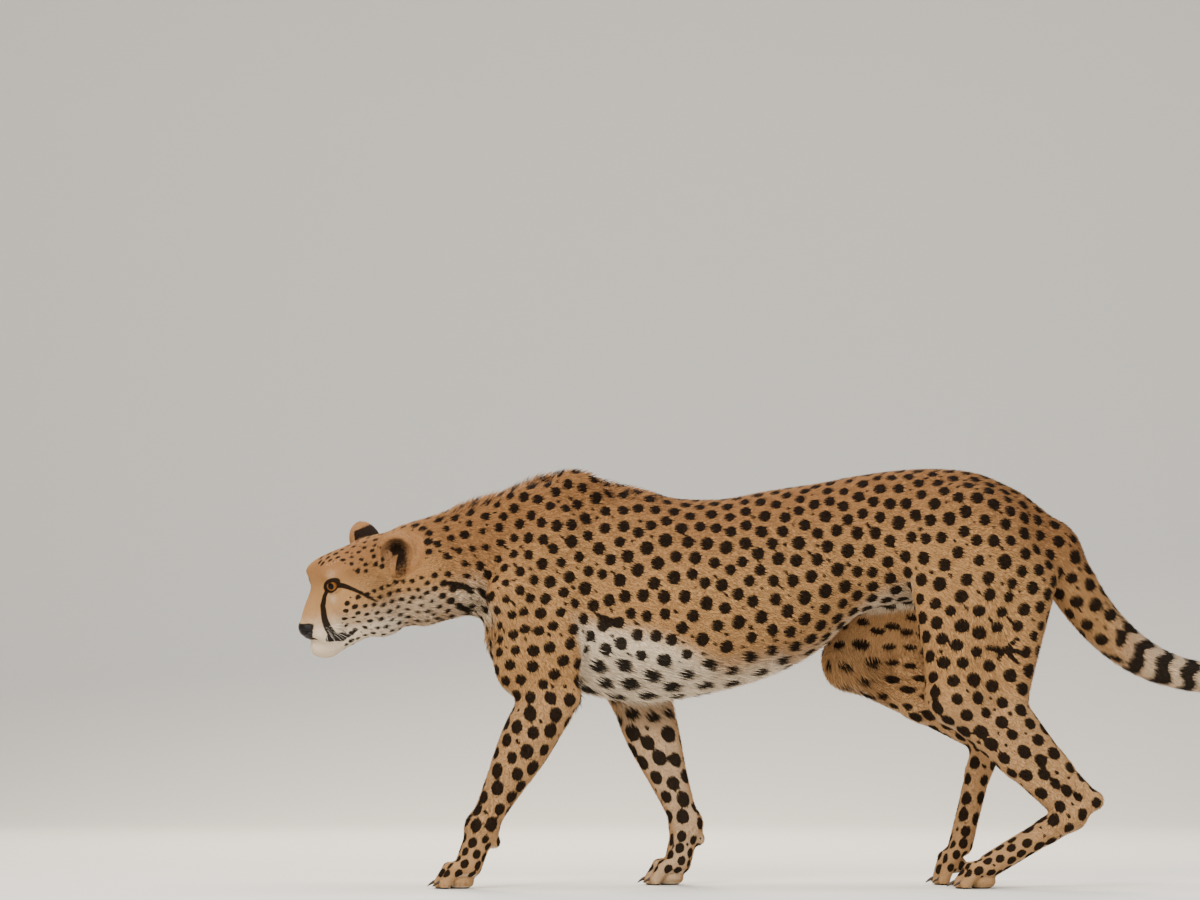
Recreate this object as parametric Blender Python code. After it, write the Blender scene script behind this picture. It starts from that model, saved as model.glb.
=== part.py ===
# A life-size cheetah in a low walk: head down and turned a little to its left, left foreleg and
# right hind leg forward. The flesh is one field of blended masses (tapers, ellipsoids and one
# lofted barrel). Each named part is that field meshed inside its own block of space, thinned
# with Decimate and trimmed by Booleans, so neighbours follow one surface and meet at thin cuts.
#
# Units: the masses are in centimetres, with x from head to tail, y to the animal's right and
# z up from the floor. The objects are in metres. At the end the whole animal is moved so that
# the origin is the bottom centre of its bounding box.

import math

import bpy
import numpy as np
from mathutils import Matrix, Vector

CM = 0.01
GAP = 0.03  # clearance between neighbouring parts, cm
FLOOR = 0.0
SOLE = 0.07  # height at which every foot is trimmed to one flat
LEFT, RIGHT = -1, 1

# ---------------------------------------------------------------- driving dimensions, cm
FORE = {  # joints of each foreleg
    LEFT: {"blade": (-3.0, 3.6, 66.2), "shoulder": (-14.4, 8.2, 48.5), "elbow": (-9.2, 8.8, 30.2),
           "wrist": (-19.6, 8.0, 10.2), "knuckle": (-21.8, 8.0, 3.9), "toe": (-27.6, 8.0, 0.95)},
    RIGHT: {"blade": (-4.5, 3.6, 65.4), "shoulder": (-9.5, 8.2, 47.5), "elbow": (6.2, 8.4, 31.5),
            "wrist": (14.4, 7.8, 10.2), "knuckle": (13.0, 7.8, 3.9), "toe": (7.3, 7.8, 0.95)},
}
HIND = {  # joints of each hind leg
    LEFT: {"hip": (64.5, 6.6, 56.0), "knee": (58.6, 9.6, 31.6), "hock": (78.0, 8.4, 12.2),
           "heel": (81.8, 8.4, 14.6), "knuckle": (64.6, 8.0, 4.0), "toe": (58.4, 8.0, 0.95)},
    RIGHT: {"hip": (61.0, 6.6, 56.0), "knee": (41.6, 9.0, 37.2), "hock": (64.6, 8.2, 24.0),
            "heel": (68.6, 8.2, 26.4), "knuckle": (60.4, 8.0, 6.8), "toe": (55.6, 8.0, 0.95)},
}
# trunk sections: x, top, level of the widest place, bottom, half-width
BARREL = [
    (-19.0, 61.0, 53.0, 45.5, 4.6), (-15.0, 63.6, 52.0, 40.0, 7.0), (-9.0, 66.0, 50.0, 35.0, 8.6),
    (-2.0, 67.2, 48.5, 31.8, 9.8), (6.0, 66.4, 47.0, 30.5, 10.9), (13.0, 65.0, 46.5, 31.0, 11.5),
    (20.0, 64.9, 46.8, 32.4, 11.3), (28.0, 66.3, 48.8, 34.8, 10.5), (36.0, 67.5, 52.4, 39.0, 9.5),
    (43.0, 68.8, 56.5, 44.8, 9.0), (50.0, 69.7, 58.0, 47.0, 9.2), (57.0, 69.9, 58.5, 47.8, 9.0),
    (64.0, 68.8, 58.5, 48.5, 8.2), (70.0, 65.6, 57.5, 49.5, 6.6), (75.0, 61.0, 56.0, 51.0, 4.4),
]
WITHERS = [  # the mane over the shoulders: x, centre z, half-height
    (-15.0, 63.6, 2.4), (-10.4, 66.2, 2.6), (-5.0, 66.7, 2.7), (0.6, 65.2, 2.6), (8.0, 63.2, 2.4),
]
NECK = [  # centre x, y, z, half-height, half-width
    (-9.0, 0.0, 55.0, 11.8, 8.0), (-17.0, -0.3, 55.2, 10.6, 7.6), (-24.0, -0.9, 53.9, 9.2, 7.0),
    (-30.5, -1.5, 52.0, 8.9, 6.6),
]
TAIL = [  # centre x, y, z, radius
    (68.0, 0.0, 59.6, 5.8), (73.6, 0.0, 56.6, 5.0), (77.6, 0.1, 51.9, 4.6), (81.0, 0.2, 46.8, 4.2),
    (84.6, 0.3, 42.6, 3.9), (88.8, 0.5, 39.1, 3.6), (94.0, 0.8, 36.4, 3.2), (100.4, 1.2, 34.9, 2.95),
    (107.5, 1.8, 35.2, 2.8), (115.0, 2.6, 37.3, 2.75), (121.8, 3.2, 41.2, 2.75), (127.2, 3.4, 46.0, 2.6),
    (130.6, 3.3, 50.0, 1.9),
]
HEAD_AT = (-36.3, -1.6, 54.8)  # mid-plane point between the ears
HEAD_YAW, HEAD_PITCH, HEAD_ROLL = 25.0, 18.0, 7.0  # to the left, nose down, right side up, degrees
EYE_AT, EYE_RADIUS = (10.7, 3.2, -0.7), 1.55
NOSE_BOX = ((16.9, 0.0, -7.0), (1.5, 2.1, 1.3))  # the leather is the field inside this block
EAR_BASE, EAR_HEIGHT, EAR_HALF_WIDTH = (-0.4, 5.0, -1.4), 7.0, 3.3
TOE_SPREAD = (-2.45, -0.85, 0.85, 2.45)
EAR_FOOT, EAR_OUT = (-0.3, 4.75, 1.4), (0.0, 0.72, 0.694)  # where the ear is parted, and which way
CLAW_LENGTH, CLAW_RADIUS, CLAW_HOOK = 1.7, 0.32, 0.3
CLAW_ROOT, CLAW_HEADING = (-0.5, 0.0, 0.35), (-1.0, 0.0, -0.25)  # root measured from the toe's tip
DEWCLAW_ROOT, DEWCLAW_HEADING = (-0.3, 0.0, -0.4), (-0.6, 0.0, -0.8)

# mesh step in cm and triangles of each part
FINENESS = {"head": (0.42, 1800), "ear": (0.3, 260), "nose": (0.25, 90), "neck": (0.8, 320),
            "chest": (0.9, 480), "loin": (0.9, 260), "hips": (0.9, 320), "upper": (0.8, 330),
            "lower": (0.6, 210), "paw": (0.4, 350), "tail": (0.7, 150)}


# ---------------------------------------------------------------- small vector helpers
def unit(v):
    v = np.asarray(v, float)
    return v / np.linalg.norm(v)


def on_side(point, side):
    return (point[0], side * point[1], point[2])


def between(a, b, share):
    return np.asarray(a, float) + share * (np.asarray(b, float) - np.asarray(a, float))


def hermite(a, b, slope_a, slope_b, t):
    """A smooth run from a to b that leaves and arrives with the given slopes."""
    t2, t3 = t * t, t * t * t
    return ((2 * t3 - 3 * t2 + 1) * a + (t3 - 2 * t2 + t) * slope_a
            + (3 * t2 - 2 * t3) * b + (t3 - t2) * slope_b)


def head_axes():
    """Columns: forward, left and up of the head in body space."""
    yaw, pitch, roll = (math.radians(v) for v in (HEAD_YAW, HEAD_PITCH, HEAD_ROLL))
    level = Matrix(((-1, 0, 0), (0, -1, 0), (0, 0, 1)))
    turned = Matrix.Rotation(yaw, 3, "Z") @ level
    tipped = turned @ Matrix.Rotation(pitch, 3, "Y")
    return np.array(tipped @ Matrix.Rotation(-roll, 3, "X"))


HEAD_AXES = head_axes()


def head_point(point, side=LEFT):
    """A point of the head, given as forward, sideways and up, in body space."""
    local = np.array((point[0], -side * point[1], point[2]), float)
    return np.array(HEAD_AT) + HEAD_AXES @ local


# ---------------------------------------------------------------- masses: each has a distance and a reach
class Taper:
    """A limb of oval section from a to b. Radii are (in the bending plane, sideways)."""

    def __init__(self, a, b, radii_a, radii_b, side=(0, 1, 0), blend=1.5, cap=None):
        self.a, self.b = np.asarray(a, float), np.asarray(b, float)
        self.radii_a, self.radii_b = np.asarray(radii_a, float), np.asarray(radii_b, float)
        self.blend, self.cap = blend, cap
        self.length = np.linalg.norm(self.b - self.a)
        self.along = (self.b - self.a) / self.length
        side = np.asarray(side, float)
        self.side = unit(side - self.along * (side @ self.along))
        self.flat = np.cross(self.along, self.side)
        most = max(self.radii_a.max(), self.radii_b.max())
        self.low = np.minimum(self.a, self.b) - most
        self.high = np.maximum(self.a, self.b) + most

    def distance(self, p):
        rel = p - self.a
        reach = rel @ self.along
        t = np.clip(reach / self.length, 0, 1)
        over = reach - t * self.length
        r_flat = self.radii_a[0] + t * (self.radii_b[0] - self.radii_a[0])
        r_side = self.radii_a[1] + t * (self.radii_b[1] - self.radii_a[1])
        r_end = np.minimum(r_flat, r_side) if self.cap is None else self.cap
        x, y, z = over / r_end, (rel @ self.flat) / r_flat, (rel @ self.side) / r_side
        k0 = np.sqrt(x * x + y * y + z * z) + 1e-9
        k1 = np.sqrt((x / r_end) ** 2 + (y / r_flat) ** 2 + (z / r_side) ** 2) + 1e-9
        return k0 * (k0 - 1) / k1


class Ball:
    """An ellipsoid with its own axes, given as columns."""

    def __init__(self, centre, radii, axes=None, blend=1.5):
        self.centre, self.radii = np.asarray(centre, float), np.asarray(radii, float)
        self.axes = np.eye(3) if axes is None else np.asarray(axes, float)
        self.blend = blend
        self.low, self.high = self.centre - self.radii.max(), self.centre + self.radii.max()

    def distance(self, p):
        q = ((p - self.centre) @ self.axes) / self.radii
        k0 = np.sqrt((q * q).sum(-1)) + 1e-9
        k1 = np.sqrt(((q / self.radii) ** 2).sum(-1)) + 1e-9
        return k0 * (k0 - 1) / k1


class Barrel:
    """The trunk: egg-shaped sections along x, each two half-ovals that meet at the widest level."""

    def __init__(self, sections, blend=2.0, cap=5.0):
        self.x, self.top, self.mid, self.bottom, self.half = np.array(sections).T
        self.blend, self.cap = blend, cap
        self.low = np.array((self.x[0] - cap, -self.half.max(), self.bottom.min()))
        self.high = np.array((self.x[-1] + cap, self.half.max(), self.top.max()))

    def at(self, values, x):
        """One of the section's values at x, on a smooth curve through the sections."""
        i = np.clip(np.searchsorted(self.x, x, side="right") - 1, 0, len(self.x) - 2)
        step = self.x[i + 1] - self.x[i]
        slope = np.gradient(values, self.x)
        t = np.clip((x - self.x[i]) / step, 0, 1)
        return hermite(values[i], values[i + 1], step * slope[i], step * slope[i + 1], t)

    def distance(self, p):
        x = np.clip(p[..., 0], self.x[0], self.x[-1])
        top, mid, bottom, half = (self.at(v, x) for v in (self.top, self.mid, self.bottom, self.half))
        dz = p[..., 2] - mid
        r_z = np.where(dz > 0, top - mid, mid - bottom)
        ux, uy, uz = (p[..., 0] - x) / self.cap, p[..., 1] / half, dz / r_z
        k0 = np.sqrt(ux * ux + uy * uy + uz * uz) + 1e-9
        k1 = np.sqrt((ux / self.cap) ** 2 + (uy / half) ** 2 + (uz / r_z) ** 2) + 1e-9
        return k0 * (k0 - 1) / k1


class Chain:
    """Tapers through stations (point, radii), smoothed so that the outline has no corners."""

    def __init__(self, stations, blend=1.5, side=(0, 1, 0)):
        points = np.array([np.r_[p, r] for p, r in stations], float)
        slope = np.gradient(points, axis=0)
        fine = []
        for i in range(len(points) - 1):
            fine += [hermite(points[i], points[i + 1], slope[i], slope[i + 1], t) for t in (0, 1 / 3, 2 / 3)]
        fine.append(points[-1])
        self.blend = blend
        self.links = [Taper(a[:3], b[:3], a[3:], b[3:], side) for a, b in zip(fine[:-1], fine[1:])]
        self.low = np.min([link.low for link in self.links], axis=0)
        self.high = np.max([link.high for link in self.links], axis=0)

    def distance(self, p):
        d = self.links[0].distance(p)
        for link in self.links[1:]:
            d = soft_minimum(d, link.distance(p), 0.3)
        return d


# ---------------------------------------------------------------- the animal's masses
def trunk_masses():
    made = [Barrel(BARREL)]
    made.append(Chain([((x, y, z), (high, wide)) for x, y, z, high, wide in NECK], blend=2.5))
    made.append(Ball((-15.0, 0, 44.0), (4.6, 6.4, 8.4), blend=2.5))  # breast
    made.append(Chain([((x, 0, z), (high, 2.4)) for x, z, high in WITHERS], blend=1.6))
    return made


def dewclaw_at(side):
    """Middle of the small inner toe below the wrist."""
    wrist, knuckle = (on_side(FORE[side][name], side) for name in ("wrist", "knuckle"))
    return between(wrist, knuckle, 0.35) + (-0.8, -2.3 * side, 0)


def foreleg_masses(side):
    j = {name: on_side(point, side) for name, point in FORE[side].items()}
    olecranon = np.array(j["elbow"]) + (4.0, 0, 1.6)
    triceps = between(j["shoulder"], j["elbow"], 0.45) + (4.8, 0.3 * side, 2.0)
    return [
        Taper(j["blade"], j["shoulder"], (5.2, 2.3), (4.8, 3.4), blend=2.0),
        Ball(between(j["blade"], j["shoulder"], 0.55) + (2.6, 1.2 * side, -1.0), (5.2, 2.6, 8.0), blend=2.0),
        Ball(between(j["blade"], j["shoulder"], 0.05), (4.4, 2.2, 3.8), blend=2.2),
        Taper(j["shoulder"], j["elbow"], (4.9, 3.4), (4.2, 3.0), blend=1.6),
        Ball(triceps, (5.2, 3.1, 9.2), blend=1.6),
        Ball(between(j["shoulder"], j["elbow"], 0.57) + (-1.8, 0, 0), (4.9, 3.2, 6.5), blend=1.6),  # biceps
        Taper(triceps - np.array((0, 0, 4)), olecranon, (3.9, 2.6), (2.0, 2.0), blend=1.6),
        Ball(j["elbow"], (3.6, 3.0, 3.8), blend=1.5),
        Taper(olecranon, between(j["elbow"], j["wrist"], 0.5), (2.0, 2.0), (3.2, 2.3), blend=1.6),
        Chain([(j["elbow"], (4.7, 3.4)), (between(j["elbow"], j["wrist"], 0.3), (4.6, 3.2)),
               (between(j["elbow"], j["wrist"], 0.62), (3.5, 2.6)),
               (between(j["elbow"], j["wrist"], 0.86), (2.75, 2.4)), (j["wrist"], (2.75, 2.5))], blend=1.2),
        Ball(j["wrist"], (2.7, 2.5, 2.6), blend=1.2),
        Ball(np.array(j["wrist"]) + (2.2, 0, -2.4), (1.0, 1.0, 1.2), blend=0.9),  # carpal pad
        Ball(dewclaw_at(side), (0.9, 0.8, 1.1), blend=0.6),
        *paw_masses(j["wrist"], j["knuckle"], j["toe"], (2.4, 2.3), (2.3, 3.1)),
    ]


def hindleg_masses(side):
    j = {name: on_side(point, side) for name, point in HIND[side].items()}
    calf = between(j["knee"], j["hock"], 0.3) + (3.4, 0, 2.6)
    buttock = np.array((71.0, side * 5.4, 52.0))
    hamstring = between(j["knee"], j["hock"], 0.12) + (7.2, 0, 3.2)
    return [
        Ball((60.5, side * 5.6, 57.6), (11.5, 5.0, 9.4), blend=2.4),  # gluteal mass
        Taper(j["hip"], j["knee"], (8.6, 4.6), (5.0, 3.7), blend=2.0),
        Taper((55.5, side * 6.6, 55.0), j["knee"], (5.4, 4.0), (4.2, 3.4), blend=2.0),
        Taper(buttock, hamstring, (5.4, 4.2), (3.0, 2.5), blend=2.0),
        Ball(j["knee"], (4.3, 3.9, 4.4), blend=1.8),
        Taper(j["knee"], between(j["knee"], j["hock"], 0.55), (4.3, 3.4), (2.9, 2.4), blend=1.6),
        Taper(calf, between(calf, j["heel"], 0.62), (3.8, 3.0), (1.7, 1.5), blend=1.6),
        Taper(between(j["knee"], j["hock"], 0.5), j["hock"], (3.0, 2.4), (2.3, 2.0), blend=1.2),
        Taper(between(calf, j["heel"], 0.5), j["heel"], (1.8, 1.4), (1.35, 1.35), blend=1.1),
        Ball(j["hock"], (2.6, 2.2, 2.5), blend=1.2),
        Taper(j["heel"], between(j["hock"], j["knuckle"], 0.3), (1.5, 1.5), (2.0, 1.9), blend=1.2),
        *paw_masses(j["hock"], j["knuckle"], j["toe"], (2.3, 2.0), (2.1, 2.9)),
    ]


def toe_lines(knuckle, toe):
    """(root, bend, tip) of the four toes, which fan a little and are longest in the middle."""
    knuckle, toe = np.array(knuckle, float), np.array(toe, float)
    heading = unit((toe - knuckle) * (1, 1, 0))
    across = np.array((-heading[1], heading[0], 0))
    lines = []
    for offset in TOE_SPREAD:
        short = 0.9 * (abs(offset) > 1)
        root = knuckle + across * offset * 0.72 - (0, 0, 0.2)
        bend = between(knuckle, toe, 0.55) + across * offset * 0.94 + (0, 0, 0.95) - heading * short
        lines.append((root, bend, toe + across * offset - heading * (short + 1.0)))
    return lines


def paw_masses(ankle, knuckle, toe, radii_top, radii_knuckle):
    """Cannon, pad and four toes."""
    pad = between(knuckle, toe, 0.25)
    pad[2] = max(1.3, pad[2] - 1.9)
    made = [Taper(ankle, knuckle, radii_top, radii_knuckle, blend=1.2), Ball(pad, (2.4, 2.5, 1.5), blend=0.8)]
    for root, bend, tip in toe_lines(knuckle, toe):
        made.append(Taper(root, bend, (1.45, 1.15), (1.25, 1.0), blend=0.5))
        made.append(Taper(bend, tip, (1.25, 1.0), (1.05, 1.0), blend=0.45))
    return made


def head_masses():
    both = (LEFT, RIGHT)

    def ball(centre, radii, side=LEFT, blend=1.4):
        return Ball(head_point(centre, side), radii, HEAD_AXES, blend)

    def taper(a, b, radii_a, radii_b, side=LEFT, blend=1.4):
        return Taper(head_point(a, side), head_point(b, side), radii_a, radii_b, HEAD_AXES[:, 1], blend)

    made = [
        ball((1.2, 0, -0.9), (7.4, 5.5, 5.2)),  # braincase
        ball((7.0, 0, -0.6), (5.9, 4.7, 4.5), blend=2.0),  # forehead
        taper((-1.5, 0, -3.6), (5.5, 0, -5.8), (6.2, 5.6), (4.6, 4.4), blend=2.2),  # throat
        taper((11.2, 0, -2.1), (15.6, 0, -6.9), (2.6, 2.6), (1.8, 1.7), blend=1.3),  # bridge of the nose
        ball((10.9, 0, -6.3), (4.8, 3.7, 4.0), blend=1.6),
        taper((13.0, 0, -10.9), (4.0, 0, -8.9), (1.9, 2.3), (2.8, 4.2), blend=1.2),  # lower jaw
        ball((13.7, 0, -10.9), (2.7, 2.3, 2.0), blend=1.3),  # chin
        ball((16.2, 0, -7.2), (1.25, 1.6, 1.3), blend=0.5),  # nose
    ]
    for side in both:
        made += [
            ball((10.2, 3.2, 1.5), (2.5, 1.5, 1.1), side, 1.2),  # brow
            ball((7.4, 3.9, -4.3), (4.8, 2.9, 3.3), side, 1.8),  # cheekbone
            ball((3.6, 3.7, -7.1), (4.6, 3.0, 5.1), side, 2.4),  # jaw muscle
            ball((13.4, 2.0, -8.1), (2.8, 2.15, 2.2), side, 1.0),  # whisker pad
        ]
    return made


def eye_hollows():
    """Shallow bowls round the eyes, taken out of the head."""
    return [Ball(head_point((12.7, 4.5, -0.7), side), (2.0, 1.5, 1.5), HEAD_AXES, 1.2)
            for side in (LEFT, RIGHT)]


def ear_axes(side):
    """Columns: towards the opening, across the ear and up the ear, in body space."""
    up = unit((0.04, 0.27, 0.96))
    opening = np.array((0.45, 0.86, 0.12))
    opening = unit(opening - up * (up @ opening))
    local = np.stack([opening, np.cross(up, opening), up], axis=1)
    local[1] *= -side
    return HEAD_AXES @ local


def ear_masses(side):
    """(solid, hollow) of one ear: a rounded cup with a thick root."""
    axes = ear_axes(side)
    root = head_point(EAR_BASE, side)
    middle = root + axes[:, 2] * (EAR_HEIGHT - EAR_HALF_WIDTH)
    solid = [
        Ball(middle, (2.0, EAR_HALF_WIDTH, EAR_HALF_WIDTH + 0.2), axes, 0.8),
        Taper(root, middle, (2.0, 2.6), (1.8, 3.0), axes[:, 1], 1.0),
    ]
    hollow = Ball(middle + axes[:, 0] * 1.9, (2.7, 2.9, 3.2), axes, 0.35)
    return solid, hollow


def body_field():
    """(add or carve, mass) in order."""
    steps = [("add", m) for m in trunk_masses()]
    steps.append(("add", Chain([((x, y, z), (r, r)) for x, y, z, r in TAIL], blend=2.5)))
    for side in (LEFT, RIGHT):
        steps += [("add", m) for m in foreleg_masses(side) + hindleg_masses(side)]
    steps += [("add", m) for m in head_masses()]
    steps += [("carve", m) for m in eye_hollows()]
    for side in (LEFT, RIGHT):
        solid, hollow = ear_masses(side)
        steps += [("add", m) for m in solid] + [("carve", hollow)]
    return steps


FIELD = body_field()


def soft_minimum(a, b, blend):
    h = np.clip(0.5 + 0.5 * (b - a) / blend, 0, 1)
    return b + (a - b) * h - blend * h * (1 - h)


def distance_at(p, steps=FIELD):
    """Signed distance of scattered points, in cm, cut off flat at the floor."""
    d = np.full(len(p), 6.0)
    for kind, mass in steps:
        near = ((p > mass.low - 3) & (p < mass.high + 3)).all(1)
        if not near.any():
            continue
        if kind == "add":
            d[near] = soft_minimum(d[near], mass.distance(p[near]), mass.blend)
        else:
            d[near] = -soft_minimum(-d[near], mass.distance(p[near]), mass.blend)
    return np.maximum(d, FLOOR - p[:, 2])


# ---------------------------------------------------------------- from the field to a mesh
def sampled(low, high, step):
    """The field on a grid over a block, closed off at the block's sides."""
    counts = [int(math.ceil((b - a) / step)) + 1 for a, b in zip(low, high)]
    axes = [low[k] + step * np.arange(counts[k]) for k in range(3)]
    values = np.full(counts, 6.0, np.float32)
    for kind, mass in FIELD:
        cut = []
        for k in range(3):
            first = int(np.searchsorted(axes[k], mass.low[k] - 3))
            last = int(np.searchsorted(axes[k], mass.high[k] + 3))
            cut.append(slice(first, last))
        part = values[tuple(cut)]
        if not part.size:
            continue
        grid = np.stack(np.meshgrid(*[axes[k][cut[k]] for k in range(3)], indexing="ij"), axis=-1)
        found = mass.distance(grid.reshape(-1, 3)).reshape(part.shape)
        if kind == "add":
            part[...] = soft_minimum(part, found, mass.blend)
        else:
            part[...] = -soft_minimum(-part, found, mass.blend)
    values = np.maximum(values, (FLOOR - axes[2])[None, None, :])
    for k in range(3):
        edge = [slice(None)] * 3
        for end in (0, -1):
            edge[k] = end
            values[tuple(edge)] = np.maximum(values[tuple(edge)], 0.4 * step)
    return joined_up(values, step)


def joined_up(values, step):
    """Fills in wherever two samples meet only at a corner, so that the mesh never touches itself."""
    while True:
        inside, found = values < 0, 0
        for axis in range(3):
            quad = []
            for du, dv in ((0, 0), (0, 1), (1, 1), (1, 0)):
                cut = [slice(None)] * 3
                for k, shift in (((axis + 1) % 3, du), ((axis + 2) % 3, dv)):
                    cut[k] = slice(1, None) if shift else slice(0, -1)
                quad.append(tuple(cut))
            a, b, c, d = (inside[cut] for cut in quad)
            crossed = (a & c & ~b & ~d) | (b & d & ~a & ~c)
            found += int(crossed.sum())
            for cut in quad:
                part = values[cut]
                part[crossed] = np.minimum(part[crossed], -0.1 * step)
        if not found:
            return values


def surface_net(values, low, step):
    """Dual mesh of the zero surface: a vertex in each cell that it crosses, a face round each edge."""
    inside = values < 0
    shape = np.array(values.shape) - 1
    corner = [(i, j, k) for i in (0, 1) for j in (0, 1) for k in (0, 1)]

    def cells(array, offset):
        return array[tuple(slice(o, o + n) for o, n in zip(offset, shape))]

    total = np.zeros(tuple(shape) + (3,), np.float32)
    count = np.zeros(tuple(shape), np.float32)
    for first in corner:
        for axis in range(3):
            if first[axis]:
                continue
            second = tuple(o + (k == axis) for k, o in enumerate(first))
            a, b = cells(values, first), cells(values, second)
            crossed = cells(inside, first) != cells(inside, second)
            share = np.where(crossed, a / np.where(crossed, a - b, 1), 0)
            for k in range(3):
                total[..., k] += np.where(crossed, first[k] + (share if k == axis else 0), 0)
            count += crossed
    used = count > 0
    index = np.full(tuple(shape), -1, np.int64)
    index[used] = np.arange(int(used.sum()))
    places = np.argwhere(used) + total[used] / count[used][:, None]
    faces = []
    for axis in range(3):
        u, v = (axis + 1) % 3, (axis + 2) % 3
        a = [slice(1, -1)] * 3
        a[axis] = slice(0, -1)
        b = list(a)
        b[axis] = slice(1, None)
        enters = inside[tuple(a)] != inside[tuple(b)]
        at = np.argwhere(enters) + [0 if k == axis else 1 for k in range(3)]
        leaving = inside[tuple(a)][enters]
        ring = []
        for du, dv in ((-1, -1), (0, -1), (0, 0), (-1, 0)):
            cell = at.copy()
            cell[:, u] += du
            cell[:, v] += dv
            ring.append(index[tuple(cell.T)])
        quads = np.stack(ring, axis=1)
        quads[~leaving] = quads[~leaving][:, ::-1]
        faces.append(quads)
    return np.array(low) + places * step, np.concatenate(faces)


def new_object(name, points, faces, material):
    mesh = bpy.data.meshes.new(name)
    mesh.from_pydata((np.asarray(points) * CM).tolist(), [], [tuple(map(int, face)) for face in faces])
    mesh.materials.append(material)
    mesh.shade_smooth()
    made = bpy.data.objects.new(name, mesh)
    bpy.context.scene.collection.objects.link(made)
    made.parent = ANIMAL
    return made


def finish_of(name, colour, roughness):
    """A plain Principled finish."""
    material = bpy.data.materials.new(name)
    material.use_nodes = True
    shader = material.node_tree.nodes["Principled BSDF"]
    shader.inputs["Base Color"].default_value = (*colour, 1)
    shader.inputs["Roughness"].default_value = roughness
    shader.inputs["Metallic"].default_value = 0.0
    return material


# ---------------------------------------------------------------- cutters
class Block:
    """A box with its own axes, in cm: centre, half-sizes and columns of axes."""

    def __init__(self, centre, half, axes=None):
        self.centre, self.half = np.asarray(centre, float), np.asarray(half, float)
        self.axes = np.eye(3) if axes is None else np.array(axes, float)
        if np.linalg.det(self.axes) < 0:
            self.axes[:, 2] *= -1

    def corners(self, grow=0.0):
        signs = np.array([(i, j, k) for i in (-1, 1) for j in (-1, 1) for k in (-1, 1)])
        return self.centre + (signs * (self.half + grow)) @ self.axes.T

    def object(self, name, grow):
        faces = ((0, 1, 3, 2), (4, 6, 7, 5), (0, 4, 5, 1), (2, 3, 7, 6), (0, 2, 6, 4), (1, 5, 7, 3))
        made = new_object(name, self.corners(grow), faces, CUTTER_FINISH)
        made.hide_render = True
        made.display_type = "WIRE"
        return made


def from_bounds(low, high):
    low, high = np.array(low, float), np.array(high, float)
    return Block((low + high) / 2, (high - low) / 2)


def along_bone(start, end, before, after, half_flat, half_side):
    """A block round the stretch from start to end, run on by before and after."""
    start, end = np.array(start, float), np.array(end, float)
    along = unit(end - start)
    side = unit(np.array((0, 1, 0)) - along * along[1])
    axes = np.stack([along, side, np.cross(along, side)], axis=1)
    length = np.linalg.norm(end - start) + before + after
    centre = start - along * before + along * length / 2
    return Block(centre, (length / 2, half_side, half_flat), axes)


def ear_block(side):
    """A block whose foot lies flat on the side of the head, under the ear."""
    out = head_point((0, EAR_OUT[1], EAR_OUT[2]), side) - head_point((0, 0, 0), side)
    ahead = HEAD_AXES[:, 0]
    axes = np.stack([ahead, np.cross(out, ahead), out], axis=1)
    return Block(head_point(EAR_FOOT, side) + out * 4.5, (3.8, 4.8, 4.5), axes)


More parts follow.
